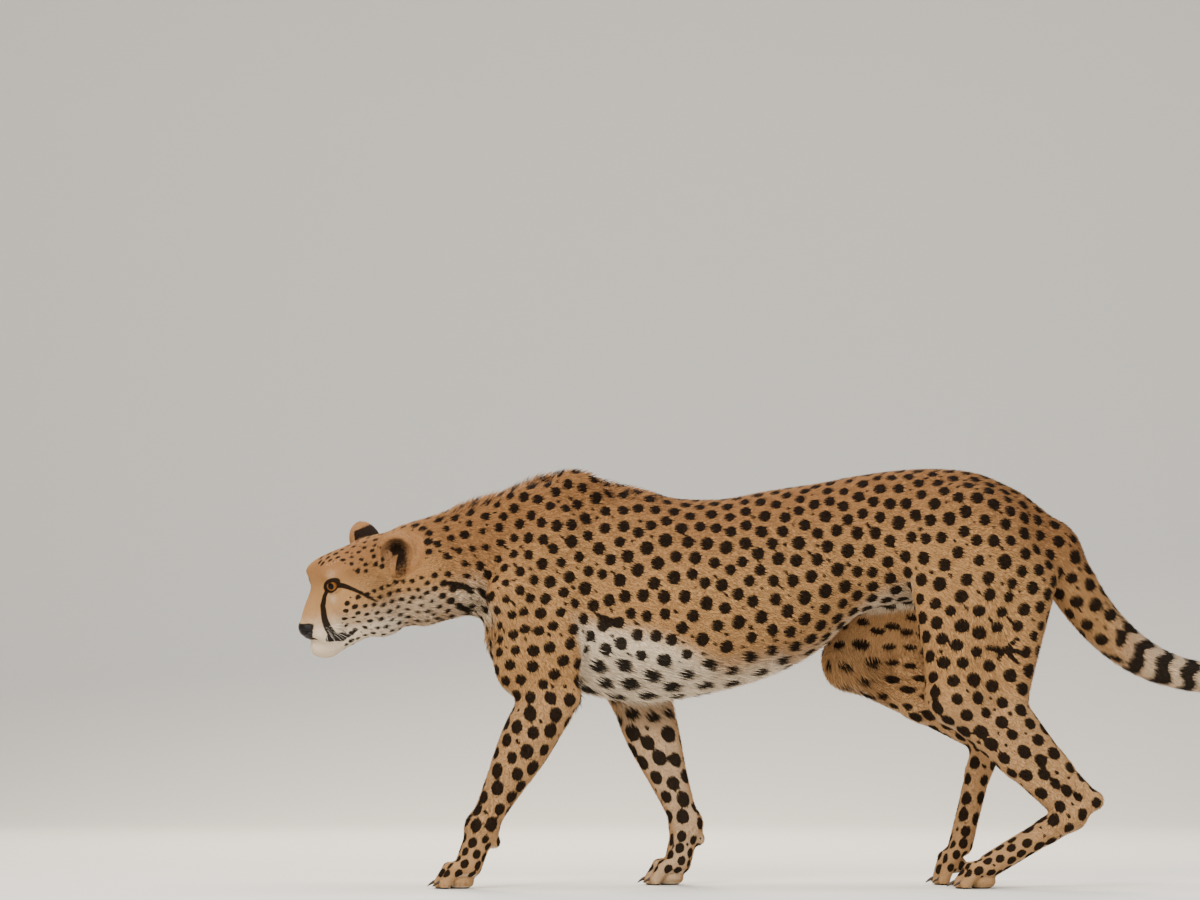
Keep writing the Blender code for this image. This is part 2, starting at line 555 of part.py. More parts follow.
def part_blocks():
    """Name of each part: (fineness, the block it fills, the parts that are taken out of it)."""
    blocks = {}
    blocks["head"] = ("head", Block(head_point((10.2, 0, -4.0)), (14.6, 13.0, 13.0), HEAD_AXES),
                      ["ear_left", "ear_right", "nose"])
    blocks["nose"] = ("nose", Block(head_point(NOSE_BOX[0]), NOSE_BOX[1], HEAD_AXES), [])
    legs = []
    for side, word in ((LEFT, "left"), (RIGHT, "right")):
        blocks[f"ear_{word}"] = ("ear", ear_block(side), [])
        j = {name: on_side(point, side) for name, point in FORE[side].items()}
        blocks[f"forepaw_{word}"] = ("paw", along_bone(between(j["wrist"], j["knuckle"], 0.25), j["knuckle"],
                                                       0, 9, 9.5, 6), [])
        blocks[f"forearm_{word}"] = ("lower", along_bone(between(j["elbow"], j["wrist"], 0.2), j["wrist"],
                                                         0, 2, 6.5, 5.5), [f"forepaw_{word}"])
        blocks[f"shoulder_{word}"] = ("upper", from_bounds(
            (min(j["shoulder"][0], j["elbow"][0]) - 9, 4.6 if side > 0 else -18, 24),
            (max(j["shoulder"][0] + 13, j["elbow"][0] + 7), 18 if side > 0 else -4.6, 61)),
            [f"forearm_{word}", f"forepaw_{word}"])
        j = {name: on_side(point, side) for name, point in HIND[side].items()}
        blocks[f"hindfoot_{word}"] = ("paw", along_bone(between(j["hock"], j["knuckle"], 0.3), j["knuckle"],
                                                        0, 9, 5.2, 6), [])
        blocks[f"shank_{word}"] = ("lower", along_bone(between(j["knee"], j["hock"], 0.24), j["hock"],
                                                       0, 6, 9.5, 5.5), [f"hindfoot_{word}"])
        blocks[f"thigh_{word}"] = ("upper", from_bounds(
            (34 if side > 0 else 51, 4.4 if side > 0 else -18, 20), (78, 18 if side > 0 else -4.4, 61)),
            [f"shank_{word}", f"hindfoot_{word}"])
        legs += [f"{part}_{word}" for part in
                 ("forepaw", "forearm", "shoulder", "hindfoot", "shank", "thigh")]
    blocks["neck"] = ("neck", from_bounds((-42, -16, 34), (-17, 16, 74)),
                      ["head", "ear_left", "ear_right"] + legs)
    blocks["chest"] = ("chest", from_bounds((-17, -16, 28), (24, 16, 74)), legs)
    blocks["loin"] = ("loin", from_bounds((24, -16, 26), (48, 16, 74)), legs)
    blocks["hips"] = ("hips", from_bounds((48, -16, 38), (75.5, 16, 74)), legs)
    cuts = (75.5, 92.0, 112.0, 140.0)
    for name, first, second in zip(("tail_base", "tail_middle", "tail_end"), cuts[:-1], cuts[1:]):
        blocks[name] = ("tail", from_bounds((first, -8, 26), (second, 10, 70)), ["thigh_left", "thigh_right"])
    return blocks


def boolean(target, cutter, operation):
    modifier = target.modifiers.new(operation.title() + "_" + cutter.name, "BOOLEAN")
    modifier.operation = operation
    modifier.solver = "EXACT"
    modifier.object = cutter


def make_part(name, fineness, block, taken, blocks, material):
    step, triangles = FINENESS[fineness]
    corners = block.corners(3 * step)
    points, faces = surface_net(sampled(corners.min(0), corners.max(0), step), corners.min(0), step)
    points, faces = largest_piece(points, faces)
    made = new_object(name, points, faces, material)
    thin = made.modifiers.new("Thin", "DECIMATE")
    thin.ratio = min(1.0, triangles / (2 * len(faces)))
    boolean(made, block.object(f"keep_{name}", -GAP / 2), "INTERSECT")
    for other in taken:
        boolean(made, blocks[other][1].object(f"{name}_less_{other}", GAP / 2), "DIFFERENCE")
    return made


def largest_piece(points, faces):
    """The biggest connected piece of a mesh: scraps of other limbs in the block are dropped."""
    label = np.arange(len(points))
    while True:
        low = label[faces].min(1)
        new = label.copy()
        for k in range(4):
            np.minimum.at(new, faces[:, k], low)
        new = new[new]
        if (new == label).all():
            break
        label = new
    labels, counts = np.unique(label[faces[:, 0]], return_counts=True)
    keep = label == labels[counts.argmax()]
    number = np.cumsum(keep) - 1
    return points[keep], number[faces[keep[faces[:, 0]]]]


def tube(name, path, radii, sides, material, grow=0.0):
    """A closed tapered tube through the points of path."""
    path, ahead = np.array(path), unit(np.subtract(path[-1], path[0]))
    across = unit(np.cross(ahead, (0.1, 0.05, 1.0)))
    points, faces = [], []
    for k, (centre, radius) in enumerate(zip(path, radii)):
        forward = unit(path[min(k + 1, len(path) - 1)] - path[max(k - 1, 0)])
        u = unit(across - forward * (across @ forward))
        v = np.cross(forward, u)
        for i in range(sides):
            turn = 2 * math.pi * i / sides
            points.append(centre + (radius + grow) * (math.cos(turn) * u + math.sin(turn) * v))
    last = (len(path) - 1) * sides
    for k in range(len(path) - 1):
        for i in range(sides):
            a, b = k * sides + i, k * sides + (i + 1) % sides
            faces.append((a, b, b + sides, a + sides))
    points += [path[0] - ahead * grow, path[-1] + ahead * (grow + radii[-1])]
    for i in range(sides):
        following = (i + 1) % sides
        faces.append((len(points) - 2, following, i))
        faces.append((len(points) - 1, last + i, last + following))
    return new_object(name, points, faces, material)


def add_claw(paw, name, root, ahead):
    """A hooked claw set in the end of a toe, in a socket of its own."""
    path = [root + (ahead * t - np.array((0, 0, CLAW_HOOK * t * t))) * CLAW_LENGTH for t in (0, 0.35, 0.7, 1)]
    radii = [CLAW_RADIUS * r for r in (1, 0.95, 0.62, 0.18)]
    tube(name, path, radii, 6, CLAW)
    socket = tube(f"socket_{name}", path, radii, 6, CUTTER_FINISH, GAP)
    socket.hide_render, socket.display_type = True, "WIRE"
    boolean(paw, socket, "DIFFERENCE")


def add_eye(head, side, word):
    """An eyeball in the head, with its socket cut round it."""
    for grow in (0.0, GAP):
        bpy.ops.mesh.primitive_uv_sphere_add(segments=14, ring_count=8, radius=(EYE_RADIUS + grow) * CM)
        ball = bpy.context.object
        ball.name = f"socket_eye_{word}" if grow else f"eye_{word}"
        ball.location = Vector(head_point(EYE_AT, side)) * CM
        ball.parent = ANIMAL
        ball.data.materials.append(CUTTER_FINISH if grow else EYE)
        ball.data.shade_smooth()
    ball.hide_render, ball.display_type = True, "WIRE"
    boolean(head, ball, "DIFFERENCE")


# ---------------------------------------------------------------- build
for old in list(bpy.data.objects):
    bpy.data.objects.remove(old)
ANIMAL = bpy.data.objects.new("cheetah", None)
bpy.context.scene.collection.objects.link(ANIMAL)
CUTTER_FINISH = finish_of("cutter", (0.5, 0.5, 0.5), 0.5)
COAT = finish_of("coat", (0.50, 0.33, 0.17), 0.85)
EYE = finish_of("eye", (0.20, 0.09, 0.02), 0.08)
LEATHER = finish_of("nose_leather", (0.02, 0.015, 0.013), 0.45)
CLAW = finish_of("claw", (0.07, 0.05, 0.04), 0.35)

BLOCKS = part_blocks()
parts = {}
for part, (fineness, block, taken) in BLOCKS.items():
    parts[part] = make_part(part, fineness, block, taken, BLOCKS, LEATHER if part == "nose" else COAT)
for side, word in ((LEFT, "left"), (RIGHT, "right")):
    add_eye(parts["head"], side, word)
    for limb, joints in (("forepaw", FORE[side]), ("hindfoot", HIND[side])):
        paw = f"{limb}_{word}"
        ground = from_bounds((joints["toe"][0] - 4, -14, SOLE - 4), (joints["toe"][0] + 16, 14, SOLE))
        boolean(parts[paw], ground.object(f"ground_{paw}", 0), "DIFFERENCE")
        lines = toe_lines(on_side(joints["knuckle"], side), on_side(joints["toe"], side))
        for number, (_, _, tip) in enumerate(lines, 1):
            add_claw(parts[paw], f"{paw}_claw_{number}", tip + CLAW_ROOT, unit(CLAW_HEADING))
    add_claw(parts[f"forepaw_{word}"], f"forepaw_{word}_dewclaw", dewclaw_at(side) + DEWCLAW_ROOT,
             unit(DEWCLAW_HEADING))

bpy.context.view_layer.update()
depsgraph = bpy.context.evaluated_depsgraph_get()
corners = []
for made in bpy.context.scene.objects:
    if made.type == "MESH" and not made.hide_render:
        corners += [made.matrix_world @ Vector(c) for c in made.evaluated_get(depsgraph).bound_box]
low = Vector([min(c[k] for c in corners) for k in range(3)])
high = Vector([max(c[k] for c in corners) for k in range(3)])
ANIMAL.location = (-(low.x + high.x) / 2, -(low.y + high.y) / 2, -low.z)
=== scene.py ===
# A life-size cheetah in a low walk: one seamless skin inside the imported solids, its coat in solid
# tufts, eyes, nose leather, whiskers and claws, on a plain pale floor in soft studio light.
import math

import bmesh
import bpy
import numpy as np
from mathutils import Matrix, Vector, kdtree


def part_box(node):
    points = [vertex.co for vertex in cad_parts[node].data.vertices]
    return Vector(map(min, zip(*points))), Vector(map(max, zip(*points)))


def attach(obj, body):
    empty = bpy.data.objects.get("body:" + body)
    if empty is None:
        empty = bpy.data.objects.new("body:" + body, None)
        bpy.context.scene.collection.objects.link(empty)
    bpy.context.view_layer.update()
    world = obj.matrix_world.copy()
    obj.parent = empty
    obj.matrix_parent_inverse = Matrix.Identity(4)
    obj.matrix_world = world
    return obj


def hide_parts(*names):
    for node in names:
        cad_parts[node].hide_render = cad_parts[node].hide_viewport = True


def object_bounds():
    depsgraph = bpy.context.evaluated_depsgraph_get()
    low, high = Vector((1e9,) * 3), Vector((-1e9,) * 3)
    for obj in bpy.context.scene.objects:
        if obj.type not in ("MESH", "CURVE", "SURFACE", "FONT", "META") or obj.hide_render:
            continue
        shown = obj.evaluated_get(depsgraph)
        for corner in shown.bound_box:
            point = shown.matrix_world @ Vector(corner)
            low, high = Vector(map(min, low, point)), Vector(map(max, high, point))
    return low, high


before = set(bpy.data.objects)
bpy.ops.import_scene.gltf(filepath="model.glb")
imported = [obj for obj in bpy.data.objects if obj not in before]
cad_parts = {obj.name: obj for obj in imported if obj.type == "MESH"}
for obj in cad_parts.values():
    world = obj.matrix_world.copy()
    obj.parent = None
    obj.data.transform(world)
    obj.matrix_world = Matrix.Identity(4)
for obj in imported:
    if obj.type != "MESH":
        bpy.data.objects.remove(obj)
cadBox = [list(corner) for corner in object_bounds()]
draw = np.random.default_rng(7)
left, right = sides = (-1, 1)
both = ((left, "left"), (right, "right"))
cm = 0.01

# The body is worked in centimetres: x from head to tail, y to the animal's right, z up from the floor.
foreleg = {
    left: {"blade": (-3.0, 3.6, 66.2), "shoulder": (-14.4, 8.2, 48.5), "elbow": (-9.2, 8.8, 30.2),
           "wrist": (-19.6, 8.0, 10.2), "knuckle": (-21.8, 8.0, 3.9), "toe": (-27.6, 8.0, 0.95)},
    right: {"blade": (-4.5, 3.6, 65.4), "shoulder": (-9.5, 8.2, 47.5), "elbow": (6.2, 8.4, 31.5),
            "wrist": (14.4, 7.8, 10.2), "knuckle": (13.0, 7.8, 3.9), "toe": (7.3, 7.8, 0.95)},
}
hindleg = {
    left: {"hip": (64.5, 6.6, 56.0), "knee": (58.6, 9.6, 31.6), "hock": (78.0, 8.4, 12.2),
           "heel": (81.8, 8.4, 14.6), "knuckle": (64.6, 8.0, 4.0), "toe": (58.4, 8.0, 0.95)},
    right: {"hip": (61.0, 6.6, 56.0), "knee": (41.6, 9.0, 37.2), "hock": (64.6, 8.2, 24.0),
            "heel": (68.6, 8.2, 26.4), "knuckle": (60.4, 8.0, 6.8), "toe": (55.6, 8.0, 0.95)},
}
# trunk sections: x, top, level of the widest place, bottom, half-width
barrel = [
    (-19.0, 61.0, 53.0, 45.5, 4.6), (-15.0, 63.6, 52.0, 40.0, 7.0), (-9.0, 66.0, 50.0, 35.0, 8.6),
    (-2.0, 67.2, 48.5, 31.8, 9.8), (6.0, 66.4, 47.0, 30.5, 10.9), (13.0, 65.0, 46.5, 31.0, 11.5),
    (20.0, 64.9, 46.8, 32.4, 11.3), (28.0, 66.3, 48.8, 34.8, 10.5), (36.0, 67.5, 52.4, 39.0, 9.5),
    (43.0, 68.8, 56.5, 44.8, 9.0), (50.0, 69.7, 58.0, 47.0, 9.2), (57.0, 69.9, 58.5, 47.8, 9.0),
    (64.0, 68.8, 58.5, 48.5, 8.2), (70.0, 65.6, 57.5, 49.5, 6.6), (75.0, 61.0, 56.0, 51.0, 4.4),
]
neck = [  # centre x, y, z, half-height, half-width
    (-9.0, 0.0, 55.0, 11.8, 8.0), (-17.0, -0.3, 55.2, 10.6, 7.6), (-24.0, -0.9, 53.9, 9.2, 7.0),
    (-30.5, -1.5, 52.0, 8.9, 6.6),
]
withers = [  # the mane over the shoulders: x, centre z, half-height
    (-15.0, 63.6, 2.4), (-10.4, 66.2, 2.6), (-5.0, 66.7, 2.7), (0.6, 65.2, 2.6), (8.0, 63.2, 2.4),
]
tail = [  # centre x, y, z, radius
    (68.0, 0.0, 59.6, 5.8), (73.6, 0.0, 56.6, 5.0), (77.6, 0.1, 51.9, 4.6), (81.0, 0.2, 46.8, 4.2),
    (84.6, 0.3, 42.6, 3.9), (88.8, 0.5, 39.1, 3.6), (94.0, 0.8, 36.4, 3.2), (100.4, 1.2, 34.9, 2.95),
    (107.5, 1.8, 35.2, 2.8), (115.0, 2.6, 37.3, 2.75), (121.8, 3.2, 41.2, 2.75), (127.2, 3.4, 46.0, 2.6),
    (130.6, 3.3, 50.0, 1.9),
]
head = {"at": (-36.3, -1.6, 54.8), "yaw": 25.0, "pitch": 18.0, "roll": 7.0}  # turned left, nose down
eye = {"at": (10.7, 3.2, -0.7), "radius": 1.55, "gaze": (0.80, 0.60, 0.03), "inner": (0.60, -0.78, -0.26),
       "opening": (1.3, 0.70), "lid": 0.2, "pupil": 0.35, "iris": 0.76, "cornea": 0.035}
ear = {"base": (-0.4, 5.0, -1.4), "height": 7.0, "halfWidth": 3.3}
toeSpread = (-2.45, -0.85, 0.85, 2.45)
soleLevel = 0.07


def unit(v):
    v = np.asarray(v, float)
    return v / np.linalg.norm(v)


def onSide(point, side):
    return (point[0], side * point[1], point[2])


def between(a, b, share):
    return np.asarray(a, float) + share * (np.asarray(b, float) - np.asarray(a, float))


def hermite(a, b, slopeA, slopeB, t):
    t2, t3 = t * t, t * t * t
    return ((2 * t3 - 3 * t2 + 1) * a + (t3 - 2 * t2 + t) * slopeA
            + (3 * t2 - 2 * t3) * b + (t3 - t2) * slopeB)


def fade(low, high, value):  # 0 at low, 1 at high, smooth between; low may be the larger
    t = np.clip((value - low) / (high - low), 0, 1)
    return t * t * (3 - 2 * t)


def headTurn():  # columns: forward, left and up of the head in body space
    yaw, pitch, roll = (math.radians(head[name]) for name in ("yaw", "pitch", "roll"))
    level = Matrix(((-1, 0, 0), (0, -1, 0), (0, 0, 1)))
    tipped = Matrix.Rotation(yaw, 3, "Z") @ level @ Matrix.Rotation(pitch, 3, "Y")
    return np.array(tipped @ Matrix.Rotation(-roll, 3, "X"))


headAxes = headTurn()


def headPoint(point, side=left):  # forward, sideways and up of the head, in body space
    return np.array(head["at"]) + headAxes @ np.array((point[0], -side * point[1], point[2]), float)


def headWay(way, side=left):
    return headAxes @ np.array((way[0], -side * way[1], way[2]), float)


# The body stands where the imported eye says.
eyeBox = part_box("eye_left")
stand = np.array((eyeBox[0] + eyeBox[1]) / 2) - headPoint(eye["at"], left) * cm


def toWorld(points):
    return np.asarray(points, float) * cm + stand


def ovalDistance(place, radii):  # near enough the distance from an ellipsoid; place is in its radii
    k0 = np.sqrt(sum(v * v for v in place)) + 1e-9
    k1 = np.sqrt(sum((v / r) ** 2 for v, r in zip(place, radii))) + 1e-9
    return k0 * (k0 - 1) / k1


class Taper:  # a limb of oval section; radii in the bending plane and sideways
    def __init__(self, a, b, radiiA, radiiB, side=(0, 1, 0), blend=1.5):
        self.a, self.b = np.asarray(a, float), np.asarray(b, float)
        self.radiiA, self.radiiB = np.asarray(radiiA, float), np.asarray(radiiB, float)
        self.blend = blend
        self.length = np.linalg.norm(self.b - self.a)
        self.along = (self.b - self.a) / self.length
        side = np.asarray(side, float)
        self.side = unit(side - self.along * (side @ self.along))
        self.flat = np.cross(self.along, self.side)
        most = max(self.radiiA.max(), self.radiiB.max())
        self.low = np.minimum(self.a, self.b) - most
        self.high = np.maximum(self.a, self.b) + most

    def distance(self, p):
        rel = p - self.a
        reach = rel @ self.along
        t = np.clip(reach / self.length, 0, 1)
        over = reach - t * self.length
        rFlat = self.radiiA[0] + t * (self.radiiB[0] - self.radiiA[0])
        rSide = self.radiiA[1] + t * (self.radiiB[1] - self.radiiA[1])
        rEnd = np.minimum(rFlat, rSide)
        place = (over / rEnd, (rel @ self.flat) / rFlat, (rel @ self.side) / rSide)
        return ovalDistance(place, (rEnd, rFlat, rSide))


class Ball:  # an ellipsoid with its own axes, given as columns
    def __init__(self, centre, radii, axes=None, blend=1.5):
        self.centre, self.radii = np.asarray(centre, float), np.asarray(radii, float)
        self.axes = np.eye(3) if axes is None else np.asarray(axes, float)
        self.blend = blend
        self.low, self.high = self.centre - self.radii.max(), self.centre + self.radii.max()

    def distance(self, p):
        q = ((p - self.centre) @ self.axes) / self.radii
        return ovalDistance(np.moveaxis(q, -1, 0), self.radii)


class Barrel:  # egg-shaped sections along x, each two half-ovals that meet at the widest level
    def __init__(self, sections, blend=2.0, cap=5.0):
        self.x, self.top, self.mid, self.bottom, self.half = np.array(sections).T
        self.blend, self.cap = blend, cap
        self.low = np.array((self.x[0] - cap, -self.half.max(), self.bottom.min()))
        self.high = np.array((self.x[-1] + cap, self.half.max(), self.top.max()))

    def at(self, values, x):
        i = np.clip(np.searchsorted(self.x, x, side="right") - 1, 0, len(self.x) - 2)
        step = self.x[i + 1] - self.x[i]
        slope = np.gradient(values, self.x)
        t = np.clip((x - self.x[i]) / step, 0, 1)
        return hermite(values[i], values[i + 1], step * slope[i], step * slope[i + 1], t)

    def distance(self, p):
        x = np.clip(p[..., 0], self.x[0], self.x[-1])
        top, mid, bottom, half = (self.at(v, x) for v in (self.top, self.mid, self.bottom, self.half))
        dz = p[..., 2] - mid
        tall = np.where(dz > 0, top - mid, mid - bottom)
        return ovalDistance(((p[..., 0] - x) / self.cap, p[..., 1] / half, dz / tall), (self.cap, half, tall))


class Chain:  # tapers through stations (point, radii), smoothed so that the outline has no corners
    def __init__(self, stations, blend=1.5, side=(0, 1, 0)):
        points = np.array([np.r_[p, r] for p, r in stations], float)
        slope = np.gradient(points, axis=0)
        fine = [hermite(points[i], points[i + 1], slope[i], slope[i + 1], t)
                for i in range(len(points) - 1) for t in (0, 1 / 3, 2 / 3)] + [points[-1]]
        self.blend = blend
        self.links = [Taper(a[:3], b[:3], a[3:], b[3:], side) for a, b in zip(fine[:-1], fine[1:])]
        self.low = np.min([link.low for link in self.links], axis=0)
        self.high = np.max([link.high for link in self.links], axis=0)

    def distance(self, p):
        d = self.links[0].distance(p)
        for link in self.links[1:]:
            d = softMinimum(d, link.distance(p), 0.06)
        return d


class Cup:  # one mass hollowed by others before it joins the body
    def __init__(self, solid, hollows, blend=1.0):
        self.solid, self.hollows, self.blend = solid, hollows, blend
        self.low, self.high = solid.low, solid.high

    def distance(self, p):
        d = self.solid.distance(p)
        for hollow in self.hollows:
            d = -softMinimum(-d, hollow.distance(p), hollow.blend)
        return d


def softMinimum(a, b, blend):
    h = np.clip(0.5 + 0.5 * (b - a) / blend, 0, 1)
    return b + (a - b) * h - blend * h * (1 - h)


trunk = Barrel(barrel)


def dewclawAt(side):
    wrist, knuckle = (onSide(foreleg[side][name], side) for name in ("wrist", "knuckle"))
    return between(wrist, knuckle, 0.35) + (-0.8, -2.3 * side, 0)


def toeLines(knuckle, toe):  # (root, bend, tip) of four toes that fan a little
    knuckle, toe = np.array(knuckle, float), np.array(toe, float)
    heading = unit((toe - knuckle) * (1, 1, 0))
    across = np.array((-heading[1], heading[0], 0))
    lines = []
    for offset in toeSpread:
        short = 0.9 * (abs(offset) > 1)
        root = knuckle + across * offset * 0.72 - (0, 0, 0.2)
        bend = between(knuckle, toe, 0.55) + across * offset * 0.94 + (0, 0, 0.95) - heading * short
        lines.append((root, bend, toe + across * offset - heading * (short + 1.0)))
    return lines


def pawMasses(ankle, knuckle, toe, radiiTop, radiiKnuckle):
    pad = between(knuckle, toe, 0.25)
    pad[2] = max(1.3, pad[2] - 1.9)
    made = [Taper(ankle, knuckle, radiiTop, radiiKnuckle, blend=1.2), Ball(pad, (2.4, 2.5, 1.5), blend=0.8)]
    for root, bend, tip in toeLines(knuckle, toe):
        made.append(Taper(root, bend, (1.45, 1.15), (1.25, 1.0), blend=0.5))
        made.append(Taper(bend, tip, (1.25, 1.0), (1.05, 1.0), blend=0.45))
    return made


def forelegMasses(side):
    j = {name: onSide(point, side) for name, point in foreleg[side].items()}
    olecranon = np.array(j["elbow"]) + (4.0, 0, 1.6)
    triceps = between(j["shoulder"], j["elbow"], 0.45) + (4.8, 0.3 * side, 2.0)
    return [
        Taper(j["blade"], j["shoulder"], (5.2, 2.3), (4.8, 3.4), blend=2.0),
        Ball(between(j["blade"], j["shoulder"], 0.55) + (2.6, 1.2 * side, -1.0), (5.2, 2.6, 8.0),
             blend=2.0),
        Ball(between(j["blade"], j["shoulder"], 0.05), (4.4, 2.2, 3.8), blend=2.2),
        Taper(j["shoulder"], j["elbow"], (4.9, 3.4), (4.2, 3.0), blend=1.6),
        Ball(triceps, (5.2, 3.1, 9.2), blend=1.6),
        Ball(between(j["shoulder"], j["elbow"], 0.57) + (-1.8, 0, 0), (4.9, 3.2, 6.5), blend=1.6),
        Taper(triceps - np.array((0, 0, 4)), olecranon, (3.9, 2.6), (2.0, 2.0), blend=1.6),
        Ball(j["elbow"], (3.6, 3.0, 3.8), blend=1.5),
        Taper(olecranon, between(j["elbow"], j["wrist"], 0.5), (2.0, 2.0), (3.2, 2.3), blend=1.6),
        Chain([(j["elbow"], (4.7, 3.4)), (between(j["elbow"], j["wrist"], 0.3), (4.6, 3.2)),
               (between(j["elbow"], j["wrist"], 0.62), (3.5, 2.6)),
               (between(j["elbow"], j["wrist"], 0.86), (2.75, 2.4)), (j["wrist"], (2.75, 2.5))], blend=1.2),
        Ball(j["wrist"], (2.7, 2.5, 2.6), blend=1.2),
        Ball(np.array(j["wrist"]) + (2.2, 0, -2.4), (1.0, 1.0, 1.2), blend=0.9),  # carpal pad
        Ball(dewclawAt(side), (0.9, 0.8, 1.1), blend=0.6),
        *pawMasses(j["wrist"], j["knuckle"], j["toe"], (2.4, 2.3), (2.3, 3.1)),
    ]


def hindlegMasses(side):
    j = {name: onSide(point, side) for name, point in hindleg[side].items()}
    calf = between(j["knee"], j["hock"], 0.3) + (3.4, 0, 2.6)
    buttock = np.array((71.0, side * 5.4, 52.0))
    hamstring = between(j["knee"], j["hock"], 0.12) + (7.2, 0, 3.2)
    web = np.array((1.6, 0, 1.3))
    return [
        Ball((60.5, side * 5.6, 57.6), (11.5, 5.0, 9.4), blend=2.4),  # gluteal mass
        Taper(j["hip"], j["knee"], (8.6, 4.6), (5.0, 3.7), blend=2.0),
        Taper((55.5, side * 6.6, 55.0), j["knee"], (5.4, 4.0), (4.2, 3.4), blend=2.0),
        Taper(buttock, hamstring, (5.4, 4.2), (3.0, 2.5), blend=2.0),
        Ball(j["knee"], (4.3, 3.9, 4.4), blend=1.8),
        Taper(j["knee"], between(j["knee"], j["hock"], 0.55), (4.3, 3.4), (2.9, 2.4), blend=1.6),
        Taper(calf, between(calf, j["heel"], 0.62), (3.8, 3.0), (1.7, 1.5), blend=1.6),
        Taper(between(j["knee"], j["hock"], 0.5), j["hock"], (3.0, 2.4), (2.3, 2.0), blend=1.2),
        Taper(between(calf, j["heel"], 0.5), j["heel"], (1.8, 1.4), (1.35, 1.35), blend=1.1),
        Ball(j["hock"], (2.6, 2.2, 2.5), blend=1.2),
        Taper(between(j["knee"], j["hock"], 0.4) + web, between(j["knee"], j["hock"], 0.9) + web * 0.9,
              (2.2, 1.1), (1.9, 0.9), blend=1.2),  # skin between shin and heel cord
        Ball(between(j["knee"], hamstring, 0.55) + (0, 0, 2.0), (4.6, 2.6, 5.0), blend=1.5),
        Taper(j["heel"], between(j["hock"], j["knuckle"], 0.3), (1.5, 1.5), (2.0, 1.9), blend=1.2),
        *pawMasses(j["hock"], j["knuckle"], j["toe"], (2.3, 2.0), (2.1, 2.9)),
    ]


def headBall(centre, radii, side=left, blend=1.4, axes=None):
    return Ball(headPoint(centre, side), radii, headAxes if axes is None else axes, blend)


def headTaper(a, b, radiiA, radiiB, side=left, blend=1.4):
    return Taper(headPoint(a, side), headPoint(b, side), radiiA, radiiB, headAxes[:, 1], blend)


def headMasses():
    made = [
        headBall((1.2, 0, -0.9), (7.4, 5.5, 5.2)),  # braincase
        headBall((7.0, 0, -0.6), (5.9, 4.7, 4.5), blend=2.0),  # forehead
        headTaper((-1.5, 0, -3.6), (5.5, 0, -5.8), (6.2, 5.6), (4.6, 4.4), blend=2.2),  # throat
        headTaper((11.2, 0, -2.1), (15.6, 0, -6.9), (2.6, 2.6), (1.8, 1.7), blend=1.3),  # nose bridge
        headBall((10.9, 0, -6.3), (4.8, 3.7, 4.0), blend=1.6),
        headTaper((13.0, 0, -10.9), (4.0, 0, -8.9), (1.9, 2.3), (2.8, 4.2), blend=1.2),  # lower jaw
        headBall((13.7, 0, -10.9), (2.7, 2.3, 2.0), blend=1.3),  # chin
        headBall((16.2, 0, -7.2), (1.25, 1.6, 1.3), blend=0.5),  # nose
    ]
    for side in sides:
        made += [
            headBall((9.6, 3.1, 1.0), (3.0, 1.7, 1.5), side, 2.2),  # brow
            headBall((7.4, 3.9, -4.3), (4.8, 2.9, 3.3), side, 1.8),  # cheekbone
            headBall((3.6, 3.7, -7.1), (4.6, 3.0, 5.1), side, 2.4),  # jaw muscle
            headBall((13.4, 2.0, -8.1), (2.8, 2.15, 2.2), side, 1.0),  # whisker pad
        ]
    return made


def earAxes(side):  # columns: towards the opening, across the ear and up the ear
    up = unit((0.04, 0.27, 0.96))
    opening = np.array((0.45, 0.86, 0.12))
    opening = unit(opening - up * (up @ opening))
    local = np.stack([opening, np.cross(up, opening), up], axis=1)
    local[1] *= -side
    return headAxes @ local


def earMiddle(side):
    return headPoint(ear["base"], side) + earAxes(side)[:, 2] * (ear["height"] - ear["halfWidth"])


def earSteps(side, deep):  # a rounded cup on a thick root; the finished ear has a thinner wall
    axes, middle = earAxes(side), earMiddle(side)
    wide, tall = ear["halfWidth"], ear["halfWidth"] + 0.2
    shell = Ball(middle, (2.0, wide, tall), axes)
    root = Taper(headPoint(ear["base"], side), between(headPoint(ear["base"], side), middle, 0.6),
                 (1.9, 2.6), (1.3, 2.7), axes[:, 1], 1.0)
    if not deep:
        hollow = Ball(middle + axes[:, 0] * 1.9, (2.7, wide - 0.4, tall - 0.3), axes, 0.35)
        return [("add", root), ("add", Cup(shell, [hollow], 0.8))]
    shell = Ball(middle - axes[:, 2] * 0.5, (2.1, wide + 0.15, tall + 0.45), axes)
    hollow = Ball(middle + axes @ (1.5, 0, -0.9), (2.5, wide - 0.65, tall - 0.2), axes, 0.5)
    back = -axes[:, 0] * 1.1
    root = Taper(root.a + back, root.b + back, (1.5, 2.6), (1.0, 2.7), axes[:, 1], 1.0)
    return [("add", root), ("add", Cup(shell, [hollow], 0.8)),
            ("carve", Ball(middle + axes @ (0.9, 0, -3.0), (1.5, 1.3, 2.0), axes, 0.6))]


